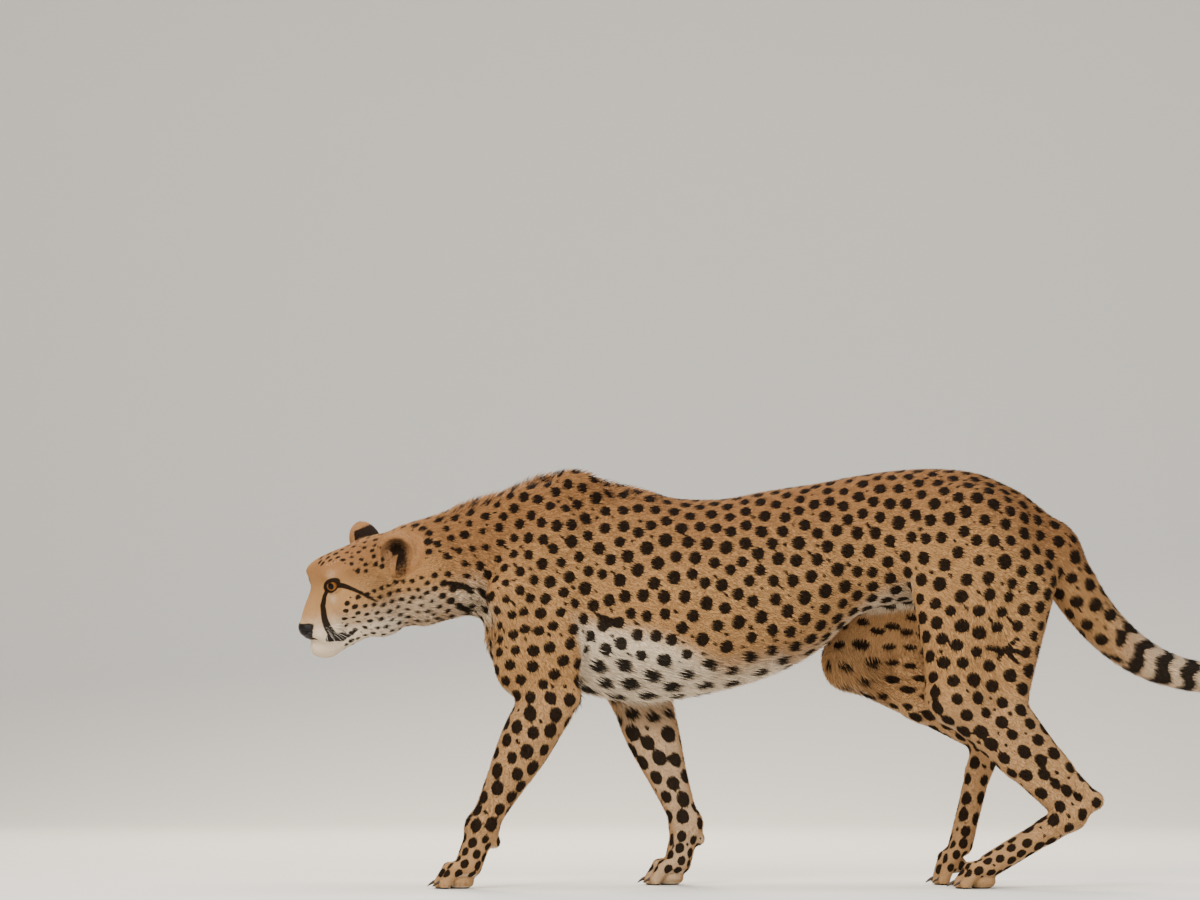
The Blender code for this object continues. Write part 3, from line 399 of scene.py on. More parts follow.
def bodySteps():
    masses = [
        trunk,
        Chain([((x, y, z), (high, wide)) for x, y, z, high, wide in neck], 2.5),
        Ball((-15.0, 0, 44.0), (4.6, 6.4, 8.4), blend=2.5),  # breast
        Chain([((x, 0, z), (high, 2.4)) for x, z, high in withers], 1.6),
        Chain([((x, y, z), (r, r)) for x, y, z, r in tail], 2.5),
    ]
    for side in sides:
        blade = np.array(onSide(foreleg[side]["blade"], side))
        masses += forelegMasses(side) + hindlegMasses(side)
        masses.append(Ball(blade + (-8.3, 0.2 * side, -3.9), (5.6, 3.2, 4.8), blend=3.0))  # before the blade
    masses += headMasses()
    masses.append(headBall((-0.8, 0, -8.2), (4.4, 3.8, 4.2), blend=2.4))  # loose skin of the throat
    sockets = [headBall((12.7, 4.5, -0.7), (2.0, 1.5, 1.5), side, 1.2) for side in sides]
    return [("add", mass) for mass in masses] + [("carve", socket) for socket in sockets]


eyeFrame = {}
for side in sides:
    gaze = unit(headWay(eye["gaze"], side))
    inner = headWay(eye["inner"], side)
    inner = unit(inner - gaze * (gaze @ inner))
    eyeFrame[side] = np.stack([gaze, inner, np.cross(gaze, inner) * side], axis=1)  # gaze, inwards, up

mouthLine = [
    (16.7, 0.0, -9.05), (16.2, 1.3, -8.95), (15.4, 2.4, -9.0), (13.9, 3.3, -9.45), (12.2, 3.4, -9.95),
    (10.6, 3.3, -10.1), (9.5, 3.4, -9.5),
]


def faceSteps():  # lids, nostrils, mouth and folds, which the solids leave out
    steps = [("add", headBall((15.5, 0, -8.5), (1.15, 1.7, 0.75), blend=0.6))]  # lip below the nose
    for side in sides:
        centre, axes = headPoint(eye["at"], side), eyeFrame[side]
        steps.append(("add", Ball(centre, (eye["radius"] + eye["lid"],) * 3, None, 0.35)))
        cuts = [
            Ball(centre + axes @ (1.75, 0, -0.1), (0.95, *eye["opening"]), axes, 0.12),
            Ball(centre + axes @ (1.42, 1.28, -0.16), (0.5, 0.42, 0.2), axes, 0.15),  # inner corner
            headBall((17.35, 0.85, -7.35), (0.75, 0.36, 0.42), side, 0.15),  # nostril
            headTaper((17.1, 1.0, -7.3), (16.4, 1.75, -7.55), (0.3, 0.3), (0.2, 0.2), side, 0.2),
        ]
        cuts += [headTaper(a, b, (0.17, 0.17), (0.17, 0.17), side, 0.22)
                 for a, b in zip(mouthLine[:-1], mouthLine[1:])]
        steps += [("carve", cut) for cut in cuts]
    cleft = headTaper((17.6, 0, -7.9), (17.1, 0, -9.0), (0.14, 0.14), (0.14, 0.14), blend=0.2)
    return steps + [("carve", cleft)]


plainSteps = bodySteps() + earSteps(left, False) + earSteps(right, False)
fineSteps = bodySteps() + earSteps(left, True) + earSteps(right, True) + faceSteps()
eyeCentres = {side: headPoint(eye["at"], side) for side in sides}
noseAt = headPoint((17.0, 0, -7.4))


def headLocal(p):
    return (p - np.array(head["at"])) @ headAxes


def mixed(start, *layers):  # values laid over one another, each by its own mask
    value = start
    for mask, over in layers:
        value = value + mask * (over - value)
    return value


def layered(table, regions):  # a table's first value, with the others laid over it in turn
    (_, start), *others = table.items()
    return mixed(start, *[(regions[name], value) for name, value in others])


# How far the tips of the coat stand above the skin, cm.
coatDepth = {"trunk": 0.55, "mane": 0.95, "leg": 0.27, "belly": 0.85, "paw": 0.12, "tail": 0.6,
             "tailTip": 0.75, "head": 0.38, "face": 0.14, "ear": 0.1, "bare": 0.0}


def masksAt(p):
    x, y, z = p[..., 0], p[..., 1], p[..., 2]
    q = headLocal(p)
    inHead = fade(-8.5, -2.5, q[..., 0]) * fade(-16, -20, x) * fade(28, 34, z)
    masks = {
        "head": inHead,
        "face": inHead * fade(4, 11, q[..., 0]),
        "neck": fade(-10, -20, x) * fade(36, 42, z) * (1 - inHead),
        "tail": fade(75, 81, x) * fade(24, 30, z),
        "tailTip": fade(105, 128, x),
        "leg": fade(37, 29, z),
        "paw": fade(11, 6, z),
        "fore": fade(32, 28, x),
        "mane": fade(58, 62, z) * fade(-30, -24, x) * fade(12, 2, x) * fade(5.0, 2.4, abs(y)),
        "belly": (fade(43, 36, z) * fade(25, 30, z) * fade(-16, -8, x) * fade(50, 44, x)
                  * fade(9.5, 7.5, abs(y))),
    }
    cups = [np.linalg.norm((p - earMiddle(side)) @ earAxes(side) / (2.5, 3.6, 4.2), axis=-1)
            for side in sides]
    masks["ear"] = fade(1.4, 1.15, np.minimum(*cups))
    bare = [np.linalg.norm(p - centre, axis=-1) - reach
            for centre, reach in ((noseAt, 1.2), (eyeCentres[left], 2.0), (eyeCentres[right], 2.0))]
    masks["bare"] = fade(1.2, 0.0, np.minimum.reduce(bare))
    return masks


def depthAt(p):
    return layered(coatDepth, masksAt(p)) * fade(0.0, 1.5, p[..., 2])


def combine(values, found, kind, blend):
    if kind == "add":
        return softMinimum(values, found, blend)
    return -softMinimum(-values, found, blend)


def skinField(p, steps):  # signed distance of scattered points from the skin, cm
    d = np.full(len(p), 6.0)
    for kind, mass in steps:
        near = ((p > mass.low - 3) & (p < mass.high + 3)).all(1)
        if near.any():
            d[near] = combine(d[near], mass.distance(p[near]), kind, mass.blend)
    return np.maximum(d + depthAt(p), soleLevel - p[:, 2])


def sampled(low, high, step):  # the plain field on a grid
    counts = [int(math.ceil((b - a) / step)) + 1 for a, b in zip(low, high)]
    axes = [low[k] + step * np.arange(counts[k]) for k in range(3)]
    values = np.full(counts, 6.0, np.float32)
    for kind, mass in plainSteps:
        cut = []
        for k in range(3):
            ends = np.searchsorted(axes[k], (mass.low[k] - 3, mass.high[k] + 3))
            cut.append(slice(int(ends[0]), int(ends[1])))
        part = values[tuple(cut)]
        grid = np.stack(np.meshgrid(*[axes[k][cut[k]] for k in range(3)], indexing="ij"), axis=-1)
        found = mass.distance(grid.reshape(-1, 3)).reshape(part.shape)
        part[...] = combine(part, found, kind, mass.blend)
    near = np.argwhere(abs(values) < 2.5)
    points = np.stack([axes[k][near[:, k]] for k in range(3)], axis=1)
    values[tuple(near.T)] += depthAt(points)
    values = np.maximum(values, (soleLevel - axes[2])[None, None, :])
    return joinedUp(values, step)


def joinedUp(values, step):  # fills in wherever two samples meet only at a corner
    while True:
        inside, found = values < 0, 0
        for axis in range(3):
            quad = []
            for du, dv in ((0, 0), (0, 1), (1, 1), (1, 0)):
                cut = [slice(None)] * 3
                for k, shift in (((axis + 1) % 3, du), ((axis + 2) % 3, dv)):
                    cut[k] = slice(1, None) if shift else slice(0, -1)
                quad.append(tuple(cut))
            a, b, c, d = (inside[cut] for cut in quad)
            crossed = (a & c & ~b & ~d) | (b & d & ~a & ~c)
            found += int(crossed.sum())
            for cut in quad:
                part = values[cut]
                part[crossed] = np.minimum(part[crossed], -0.1 * step)
        if not found:
            return values


def surfaceNet(values, low, step):  # a vertex in each cell that the surface crosses, a face round each edge
    inside = values < 0
    shape = np.array(values.shape) - 1
    total = np.zeros(tuple(shape) + (3,), np.float32)
    count = np.zeros(tuple(shape), np.float32)

    def cells(array, offset):
        return array[tuple(slice(o, o + n) for o, n in zip(offset, shape))]

    for number in range(8):
        first = (number >> 2 & 1, number >> 1 & 1, number & 1)
        for axis in range(3):
            if first[axis]:
                continue
            second = tuple(o + (k == axis) for k, o in enumerate(first))
            a, b = cells(values, first), cells(values, second)
            crossed = cells(inside, first) != cells(inside, second)
            share = np.where(crossed, a / np.where(crossed, a - b, 1), 0)
            for k in range(3):
                total[..., k] += np.where(crossed, first[k] + (share if k == axis else 0), 0)
            count += crossed
    used = count > 0
    index = np.full(tuple(shape), -1, np.int64)
    index[used] = np.arange(int(used.sum()))
    places = np.argwhere(used) + total[used] / count[used][:, None]
    faces = []
    for axis in range(3):
        u, v = (axis + 1) % 3, (axis + 2) % 3
        a = [slice(1, -1)] * 3
        a[axis] = slice(0, -1)
        b = list(a)
        b[axis] = slice(1, None)
        enters = inside[tuple(a)] != inside[tuple(b)]
        at = np.argwhere(enters) + [0 if k == axis else 1 for k in range(3)]
        leaving = inside[tuple(a)][enters]
        ring = []
        for du, dv in ((-1, -1), (0, -1), (0, 0), (-1, 0)):
            cell = at.copy()
            cell[:, u] += du
            cell[:, v] += dv
            ring.append(index[tuple(cell.T)])
        quads = np.stack(ring, axis=1)
        quads[~leaving] = quads[~leaving][:, ::-1]
        faces.append(quads)
    return np.array(low) + places * step, np.concatenate(faces)


def settled(points, rounds, steps=fineSteps):  # moves points onto the skin
    points = points.copy()
    probe = 0.03
    for _ in range(rounds):
        value = skinField(points, steps)
        ahead = [skinField(points + probe * axis, steps) for axis in np.eye(3)]
        slope = (np.stack(ahead, axis=1) - value[:, None]) / probe
        size = np.maximum((slope * slope).sum(1), 0.3)
        move = slope * (value / size)[:, None]
        far = np.linalg.norm(move, axis=1)
        points -= move * np.minimum(1, 0.4 / np.maximum(far, 1e-9))[:, None]
    return points


skin = {"low": (-53.0, -15.0, -1.2), "high": (134.0, 15.0, 71.5), "step": 0.65, "headReach": -6.5,
        "pawLevel": 8.5, "faceReach": 3.2, "eyeReach": 2.9, "lidReach": 2.2}


def coordinates(bm):
    return np.array([v.co for v in bm.verts])


def place(bm, points):
    for vertex, point in zip(bm.verts, points.tolist()):
        vertex.co = point


def refine(bm, chosen):
    bm.faces.index_update()
    wanted = chosen(np.array([face.calc_center_median() for face in bm.faces]))
    edges = [edge for edge in bm.edges if any(wanted[face.index] for face in edge.link_faces)]
    bmesh.ops.subdivide_edges(bm, edges=edges, cuts=1, use_grid_fill=True)


def fineHead(p):
    return (headLocal(p)[:, 0] > skin["headReach"]) & (p[:, 0] < -24) & (p[:, 2] > 36)


def nearFace(p, reach):
    q = headLocal(p)
    q[:, 1] = abs(q[:, 1])
    eyes = np.linalg.norm(q - np.array(eye["at"]), axis=1) < reach
    mouth = segmentDistance(q, mouthLine)[0] < 0.28 * reach
    nose = np.linalg.norm(q - (17.0, 0.6, -7.6), axis=1) < 0.62 * reach
    return eyes | mouth | nose


def segmentDistance(p, path):  # distance to a path, and how far along it the nearest place is, in its points
    path = np.asarray(path, float)
    best, share = np.full(len(p), 1e9), np.zeros(len(p))
    for i, (a, b) in enumerate(zip(path[:-1], path[1:])):
        along = b - a
        t = np.clip(((p - a) @ along) / (along @ along), 0, 1)
        d = np.linalg.norm(p - a - t[:, None] * along, axis=1)
        closer = d < best
        best[closer], share[closer] = d[closer], i + t[closer]
    return best, share


def nearEars(p):
    hits = [np.linalg.norm(p - earMiddle(side), axis=1) < ear["halfWidth"] + 1.2 for side in sides]
    return hits[0] | hits[1]


def faceAndEars(p, reach):
    return fineHead(p) & (nearFace(p, reach) | nearEars(p))


def lids(p):
    return fineHead(p) & nearFace(p, skin["lidReach"])


def paws(p):
    return p[:, 2] < skin["pawLevel"]


def evened(bm, chosen, times):  # spreads the points of a finer patch evenly over the surface
    near = chosen(coordinates(bm))
    bm.verts.ensure_lookup_table()
    moved = [bm.verts[i] for i in np.flatnonzero(near)]
    for _ in range(times):
        bmesh.ops.smooth_vert(bm, verts=moved, factor=0.5, use_axis_x=True, use_axis_y=True,
                              use_axis_z=True)
        points = coordinates(bm)
        points[near] = settled(points[near], 2)
        place(bm, points)


def buildSkin():
    field = sampled(np.array(skin["low"]), np.array(skin["high"]), skin["step"])
    points, faces = surfaceNet(field, skin["low"], skin["step"])
    mesh = bpy.data.meshes.new("skin")
    mesh.from_pydata(points.tolist(), [], faces.tolist())
    bm = bmesh.new()
    bm.from_mesh(mesh)
    print("skin: net of", len(bm.faces), "faces")
    place(bm, settled(coordinates(bm), 2, plainSteps))
    refine(bm, lambda p: fineHead(p) | paws(p))
    place(bm, settled(coordinates(bm), 3))
    evened(bm, lambda p: faceAndEars(p, skin["faceReach"]) | paws(p), 2)
    refine(bm, lambda p: faceAndEars(p, skin["eyeReach"]))
    evened(bm, lambda p: faceAndEars(p, skin["eyeReach"]), 2)
    refine(bm, lids)
    evened(bm, lids, 3)
    bmesh.ops.recalc_face_normals(bm, faces=bm.faces)
    print("skin:", len(bm.faces), "faces after refining")
    bm.to_mesh(mesh)
    bm.free()
    return mesh


skinMesh = buildSkin()
skinAt = np.array([v.co for v in skinMesh.vertices])  # cm
skinNormal = np.array([v.normal for v in skinMesh.vertices])

# Markings, in cm: the distance between spots, a spot's radius as a share of it, and how long a spot is.
marking = {
    "spacing": {"body": 2.75, "shoulder": 2.45, "spine": 2.4, "leg": 2.6, "belly": 4.2, "inner": 3.3,
                "paw": 1.9, "tail": 2.9, "neck": 2.25, "head": 1.4},
    "share": {"body": 0.44, "leg": 0.40, "belly": 0.32, "tail": 0.44, "neck": 0.33, "head": 0.28},
    "stretch": {"body": 0.92, "leg": 1.2, "neck": 1.0, "head": 1.3},
    "tries": 26000, "tightest": 0.42, "barStretch": 2.2, "barShare": 0.56, "smallShare": 0.3,
    "smallKept": 0.6, "ringsFrom": 84.5, "ringPitch": 4.3, "ringShare": 0.56, "starClearing": 2.8,
}
tearLine = [
    (12.06, 2.61, -1.48), (12.77, 2.36, -2.37), (13.53, 2.56, -3.75), (13.98, 3.01, -5.74),
    (14.07, 3.6, -7.24), (13.65, 3.95, -8.73),
]
eyeStripe = [(10.7, 4.6, -0.7), (9.3, 5.5, -1.5), (8.0, 6.3, -2.7), (6.7, 6.9, -4.1), (5.6, 7.0, -5.1)]
lipPatch = [(14.0, 3.6, -9.0), (12.7, 3.6, -9.7), (11.4, 3.2, -10.0)]
star = (66.8, 39.6)
strokes = [  # dark strokes among the spots, some of them painted shadow of a fold on the neck: start, end, half-width
    # the first three strokes, on the neck, are merged spots and painted shadow of a skin fold
    ((-25.6, 50.6), (-21.6, 49.8), 0.55), ((-20.4, 49.6), (-18.0, 47.8), 0.6),
    ((-24.2, 47.0), (-21.4, 45.6), 0.5), ((-0.6, 45.2), (3.4, 43.4), 0.66),
    (star, (63.4, 40.0), 0.5), (star, (69.2, 41.7), 0.44), (star, (69.6, 39.2), 0.42),
    (star, (68.7, 37.5), 0.42), (star, (65.3, 37.8), 0.4),
]


def headReach(path):  # distance to a path laid on the head's skin, and how far along it, in its points
    parts = 4
    fine = [between(a, b, k / parts) for a, b in zip(path[:-1], path[1:]) for k in range(parts)]
    fine.append(path[-1])
    laid = headLocal(settled(np.array([headPoint(point, left) for point in fine]), 4))
    reach, share = segmentDistance(qSide, laid)
    return reach, share / parts


masks = masksAt(skinAt)
q = headLocal(skinAt)
qSide = q * np.where(q[:, 1:2] < 0, (1, -1, 1), (1, 1, 1))  # both sides of the head as the left one
limbSide = np.where(skinAt[:, 1] < 0, -1.0, 1.0)
inward = np.clip(-skinNormal[:, 1] * limbSide, 0, 1)
downward = np.clip(-skinNormal[:, 2], 0, 1)
trunkTop = trunk.at(trunk.top, np.clip(skinAt[:, 0], barrel[0][0], barrel[-1][0]))
tailRoute = np.array([point[:3] for point in tail])
alongTail = segmentDistance(skinAt, tailRoute)[1]


def closeTo(centre, reach):  # 1 at a point of the head, fading out at reach
    return np.exp(-(np.linalg.norm(qSide - np.array(centre), axis=1) / reach) ** 2)


def earLocal(side):
    return (skinAt - earMiddle(side)) @ earAxes(side)


earPart = {side: fade(5.2, 4.2, np.linalg.norm(earLocal(side), axis=1)) * (earLocal(side)[:, 2] > -4.2)
           for side in sides}
leftEar = earPart[left] > earPart[right]
earQ = np.where(leftEar[:, None], earLocal(left), earLocal(right))
earFacing = np.where(leftEar, skinNormal @ earAxes(left)[:, 0], skinNormal @ earAxes(right)[:, 0])
skull = ((q[:, 0] - 1.2) / 7.3) ** 2 + (q[:, 1] / 5.4) ** 2 + ((q[:, 2] + 0.9) / 5.1) ** 2
onEar = np.maximum(earPart[left], earPart[right]) * fade(1.02, 1.35, skull)


def treeOf(points):
    tree = kdtree.KDTree(len(points))
    for i, point in enumerate(points):
        tree.insert(point, i)
    tree.balance()
    return tree


def nearestIn(tree, points):
    return np.array([tree.find(point)[1] for point in points])


def scatter(spacing, allowed):  # centres spread over the skin, about spacing apart
    order = draw.permutation(np.flatnonzero(allowed))[:marking["tries"]]
    kept = np.empty((len(order), 3))
    normals = np.empty((len(order), 3))
    count = 0
    for i in order:
        away = ((kept[:count] - skinAt[i]) ** 2).sum(1)
        clash = (away < spacing[i] ** 2) & (normals[:count] @ skinNormal[i] > -0.2)
        if not clash.any():
            kept[count], normals[count] = skinAt[i], skinNormal[i]
            count += 1
    return kept[:count]


def spreadEvenly(centres, allowed, rounds):  # moves each centre to the middle of the skin nearest to it
    chosen = np.flatnonzero(allowed)
    for _ in range(rounds):
        owner = nearestIn(treeOf(centres), skinAt[chosen])
        total, count = np.zeros_like(centres), np.zeros(len(centres))
        np.add.at(total, owner, skinAt[chosen])
        np.add.at(count, owner, 1)
        held = count > 0
        centres[held] = between(centres[held], total[held] / count[held][:, None], 0.8)
    return settled(centres, 3, plainSteps)


def spotField(centres, radii, flow, stretch):  # cm inside the edge of the nearest spot
    tree = treeOf(centres)
    nearest = np.array([[hit[1] for hit in tree.find_n(point, 3)] for point in skinAt])
    best = np.full(len(skinAt), -9.0)
    for k in range(3):
        rel = skinAt - centres[nearest[:, k]]
        along = (rel * flow).sum(1)
        squeezed = np.sqrt(np.maximum((rel * rel).sum(1) + along ** 2 * (1 / stretch ** 2 - 1), 0))
        best = np.maximum(best, radii[nearest[:, k]] - squeezed)
    return best


def lieOfCoat():  # backwards on the trunk, along the bones of the limbs, away from the nose on the head
    x, y, z = skinAt.T
    flow = np.stack([np.ones_like(x), 0.25 * np.sign(y) * fade(0, 3, abs(y)), -0.35 * fade(68, 50, z)],
                    axis=1)
    flow += masks["belly"][:, None] * np.array((0.6, 0, 0))
    flow += (masks["neck"] * fade(50, 44, z))[:, None] * np.array((0.2, 0, -0.5))
    total = flow * 0.25
    for side in sides:
        for joints, route in ((foreleg[side], ("shoulder", "elbow", "wrist", "knuckle", "toe")),
                              (hindleg[side], ("hip", "knee", "hock", "knuckle", "toe"))):
            points = [np.array(onSide(joints[name], side)) for name in route]
            for a, b in zip(points[:-1], points[1:]):
                reach = segmentDistance(skinAt, (a, b))[0]
                pull = np.exp(-(reach / 4.2) ** 2) * fade(52, 40, z) * 3
                total += pull[:, None] * (unit(b - a) + np.array((0.15, 0, 0)) * (z > 12)[:, None])
    i = np.clip(alongTail.astype(int), 0, len(tailRoute) - 2)
    total = mixed(total, ((masks["tail"] * (x > 74))[:, None], tailRoute[i + 1] - tailRoute[i]))
    away = (q - np.array((17.5, 0, -7.0))) @ headAxes.T
    away += closeTo((7, 5, 0), 5)[:, None] * headWay((-2, 0, -2.0))
    total = mixed(total, (masks["head"][:, None], away / np.linalg.norm(away, axis=1)[:, None]))
    for side in sides:
        up = earAxes(side)[:, 2] + 0.25 * earAxes(side)[:, 0]
        total = mixed(total, (earPart[side][:, None] * onEar[:, None], up))
    total -= skinNormal * (total * skinNormal).sum(1)[:, None]
    return total / np.maximum(np.linalg.norm(total, axis=1), 1e-6)[:, None]


lie = lieOfCoat()
print("skin: lie of the coat")


whiteEdge = [  # how high the white of the belly reaches: x, z
    (-20, 50), (-12, 45), (-3, 44), (8, 42), (17, 38.5), (25, 35.2), (32, 37), (38, 41.5), (45, 48), (50, 50),
]


def paleness():  # 1 where the coat is white
    x, _, z = skinAt.T
    edge = np.interp(x, *np.array(whiteEdge).T)
    trunkOnly = fade(2.6, 1.0, trunk.distance(skinAt)) * fade(-22, -17, x) * fade(66, 58, x)
    whiteness = mixed(1.0, (fade(12, 21, x), 0.62), (fade(32, 40, x), 0.85))
    pale = fade(edge + 3.5, edge - 3.5, z) * trunkOnly * whiteness
    pale = np.maximum(pale, fade(0.25, 0.8, inward) * fade(50, 40, z) * np.where(x > 30, 0.12, 0.38))
    pale = np.maximum(pale, fade(0.45, 0.9, downward) * fade(46, 40, z) * np.where(x > 30, 0.4, 0.8))
    throat = fade(-0.1, 0.75, downward) * masks["neck"]
    tailWhite = masks["tail"] * np.maximum(fade(80, 94, x) * 0.55, fade(122, 129, x))
    pale = np.maximum.reduce([pale, throat * 0.75, masks["leg"] * 0.17, tailWhite])
    muzzle = 0.8 * fade(9.0, 13.0, qSide[:, 0]) * fade(-5.2, -7.8, qSide[:, 2])
    jaw = fade(-6.5, -9.5, qSide[:, 2]) * fade(-3, 5, qSide[:, 0])
    cheek = fade(-3.0, -7.5, qSide[:, 2]) * 0.52
    eyes = 0.6 * closeTo((12.6, 4.0, -2.6), 1.2) + 0.4 * closeTo((11.2, 3.9, 1.0), 1.0)
    face = np.clip(np.maximum.reduce([muzzle, jaw, cheek]) + eyes, 0, 1)
    rim = np.hypot(earQ[:, 1], earQ[:, 2] + 0.3)
    ears = (0.14 * fade(-0.2, 0.5, earFacing) * fade(3.2, 2.2, rim)
            + 0.12 * fade(2.5, 3.1, rim) * fade(4.1, 3.7, rim) * fade(-1.4, -0.6, earQ[:, 0]))
    ears = ears * masks["ear"] * fade(-3.6, -2.0, earQ[:, 2])
    return mixed(pale, (masks["head"], np.maximum(face, np.clip(ears, 0, 1))))


# The nose leather is a wide shield with rounded corners; nosePad is 1 at its edge.
pad = {"from": 15.2, "middle": -7.45, "halfWidth": 1.85, "taper": 0.22, "halfHeight": 1.42, "corner": 3.2}
padHalf = np.maximum(pad["halfWidth"] + pad["taper"] * (q[:, 2] + 7.4), 0.5)
padUp = abs(q[:, 2] - pad["middle"]) / pad["halfHeight"]
nosePad = ((abs(q[:, 1]) / padHalf) ** pad["corner"] + padUp ** pad["corner"]) ** (1 / pad["corner"])
onPad = (q[:, 0] > pad["from"]) & (nosePad < 1.0)


def inkAt():  # cm inside the black markings of the face, ears and soles, and inside the painted shade at the centre of each ear's hollow
    ink = np.full(len(skinAt), -3.0)
    masked = masks["head"] > 0.5
    tear, share = headReach(tearLine)
    stripe, along = headReach(eyeStripe)
    lip = headReach(lipPatch)[0]
    mouth = np.minimum(headReach(mouthLine)[0], segmentDistance(qSide, mouthLine)[0])
    parts = [0.3 + 0.055 * share ** 1.3 - tear, 0.46 - 0.07 * along - stripe, 0.9 - lip, 0.3 - mouth]
    for side in sides:
        seen = (skinAt - eyeCentres[side]) @ eyeFrame[side]
        # the black rim round each eye, widened, most of all above the eye, as painted shade of the socket
        # under the brow
        rim = np.hypot((seen[:, 1] - 0.1) / 1.75, (seen[:, 2] - 0.08 + 0.12 * seen[:, 1]) / 1.15)
        parts.append(np.where(seen[:, 0] > 0, 1 - rim, -3))
        parts.append(0.4 - np.linalg.norm(seen - (1.35, 1.4, -0.25), axis=1))
    ink[masked] = np.maximum.reduce(parts)[masked]
    ink = np.maximum(ink, np.where(masked & (q[:, 0] > pad["from"]), 1.06 - nosePad, -3))
    back = np.minimum.reduce([-1.5 * earFacing - 0.6, 3.25 - abs(earQ[:, 1]), 2.7 - abs(earQ[:, 2] + 0.5)])
    # painted shade: a dark centre in the hollow of each ear
    inner = 0.15 - 0.15 * np.linalg.norm((earQ - (-0.1, 0.1, -2.0)) / (3.0, 1.9, 3.7), axis=1)
    ink = np.where(onEar > 0.5, np.maximum(back, inner), ink)
    sole = fade(0.5, 0.1, skinAt[:, 2]) * 0.4 - 0.2
    return np.maximum(ink, np.where(skinAt[:, 2] < 2.0, sole, -3))


def spotsAt():  # cm inside the edge of the spots, strokes and rings
    x, y, z = skinAt.T
    regions = {
        **masks,
        "shoulder": fade(6, -6, x),
        "spine": fade(trunkTop - 5, trunkTop - 1, z) * (x > -20),
        "inner": masks["leg"] * masks["fore"] * fade(0.2, 0.6, inward) * fade(13, 19, z),
    }
    spacing = layered(marking["spacing"], regions)
    share = layered(marking["share"], regions)
    crown = masks["head"] * fade(-2, 2, q[:, 2])
    face = (masks["head"] > 0.3) & ((q[:, 0] > 11.5) | (closeTo((10.7, 3.2, -0.7), 3.6) > 0.35)
                                    | ((crown < 0.3) & (q[:, 2] > -2.6)))
    allowed = ~face & (onEar < 0.3) & (z > 2.0)
    centres = spreadEvenly(scatter(spacing * 0.86, allowed), allowed, 6)
    skinTree, middles = treeOf(skinAt), treeOf(centres)
    home = nearestIn(skinTree, centres)
    gap = np.array([middles.find_n(centre, 2)[1][2] for centre in centres])
    radii = (spacing * share)[home] * draw.uniform(0.84, 1.14, len(centres))
    radii = np.minimum(radii, marking["tightest"] * gap)
    bars = fade(0.2, 0.6, inward) * fade(26, 32, z) * (x > 30) > 0.5  # inside of the thighs
    flow = np.where(bars[:, None], (1.0, 0.0, -0.1), lie)
    stretch = np.where(bars, marking["barStretch"], layered(marking["stretch"], regions))
    radii = radii * np.where(bars[home], marking["barShare"], 1.0)
    field = spotField(centres, radii, flow, stretch)
    gaps = allowed & (field < -0.29 * spacing) & (masks["belly"] < 0.4) & ~bars
    small = scatter(spacing * 0.62, gaps)
    small = small[draw.random(len(small)) < marking["smallKept"]]
    smallRadii = (spacing * share)[nearestIn(skinTree, small)] * marking["smallShare"]
    smallRadii = smallRadii * draw.uniform(0.7, 1.25, len(small))
    field = np.maximum(field, spotField(small, smallRadii, lie, stretch))
    flat, outer = skinAt[:, (0, 2)], abs(y) > 2.5
    field = np.where((np.linalg.norm(flat - star, axis=1) < marking["starClearing"]) & outer, -1.5, field)
    for start, end, half in strokes:
        reach, along = segmentDistance(flat, (start, end))
        stroke = half * (1 - 0.55 * abs(along * 2 - 1) ** 3) - reach
        field = np.maximum(field, np.where(outer, stroke, -3))
    return mixed(field, *ringsAt(x, y, z))


def ringsAt(x, y, z):  # the rings of the tail, uneven at their edges, and its white tip
    lengths = np.r_[0, np.cumsum(np.linalg.norm(np.diff(tailRoute, axis=0), axis=1))]
    run = np.interp(alongTail, np.arange(len(tailRoute)), lengths)
    start = np.interp(marking["ringsFrom"], tailRoute[:, 0], lengths)
    swing = 0.5 * np.sin(y * 1.9) + 0.4 * np.sin(z * 1.3 + x * 0.7)
    phase = ((run - start + swing) / marking["ringPitch"]) % 1
    ring = (marking["ringShare"] / 2 - abs(phase - 0.5)) * marking["ringPitch"]
    tip = fade(0, 1, (run - lengths[-1] + 4) / 2)
    ringed = masks["tail"] * fade(marking["ringsFrom"] - 3, marking["ringsFrom"] + 8, x)
    return [(ringed, ring * (1 - tip) - 2 * tip)]


pale = paleness()
ink = inkAt()
spot = spotsAt()
# tone: the back colour along the top of the trunk and of the head; on the ears, painted shade where the skin
# faces into the ear's hollow
tone = np.clip(fade(trunkTop - 16, trunkTop - 1, skinAt[:, 2]) * (1 - masks["head"])
               + masks["head"] * fade(-4.0, 3.0, q[:, 2]) + onEar * fade(-0.2, 0.4, earFacing), 0, 1)
print("skin: markings")


def setAttribute(mesh, name, values, kind="FLOAT", domain="POINT"):
    data = mesh.attributes.new(name, kind, domain).data
    field = "vector" if kind == "FLOAT_VECTOR" else "value"
    data.foreach_set(field, np.ascontiguousarray(values).ravel())


def setPoints(mesh, points):
    mesh.vertices.foreach_set("co", np.ascontiguousarray(points, np.float32).ravel())
    mesh.update()


def pointsOf(mesh):
    points = np.empty(len(mesh.vertices) * 3)
    mesh.vertices.foreach_get("co", points)
    return points.reshape(-1, 3)


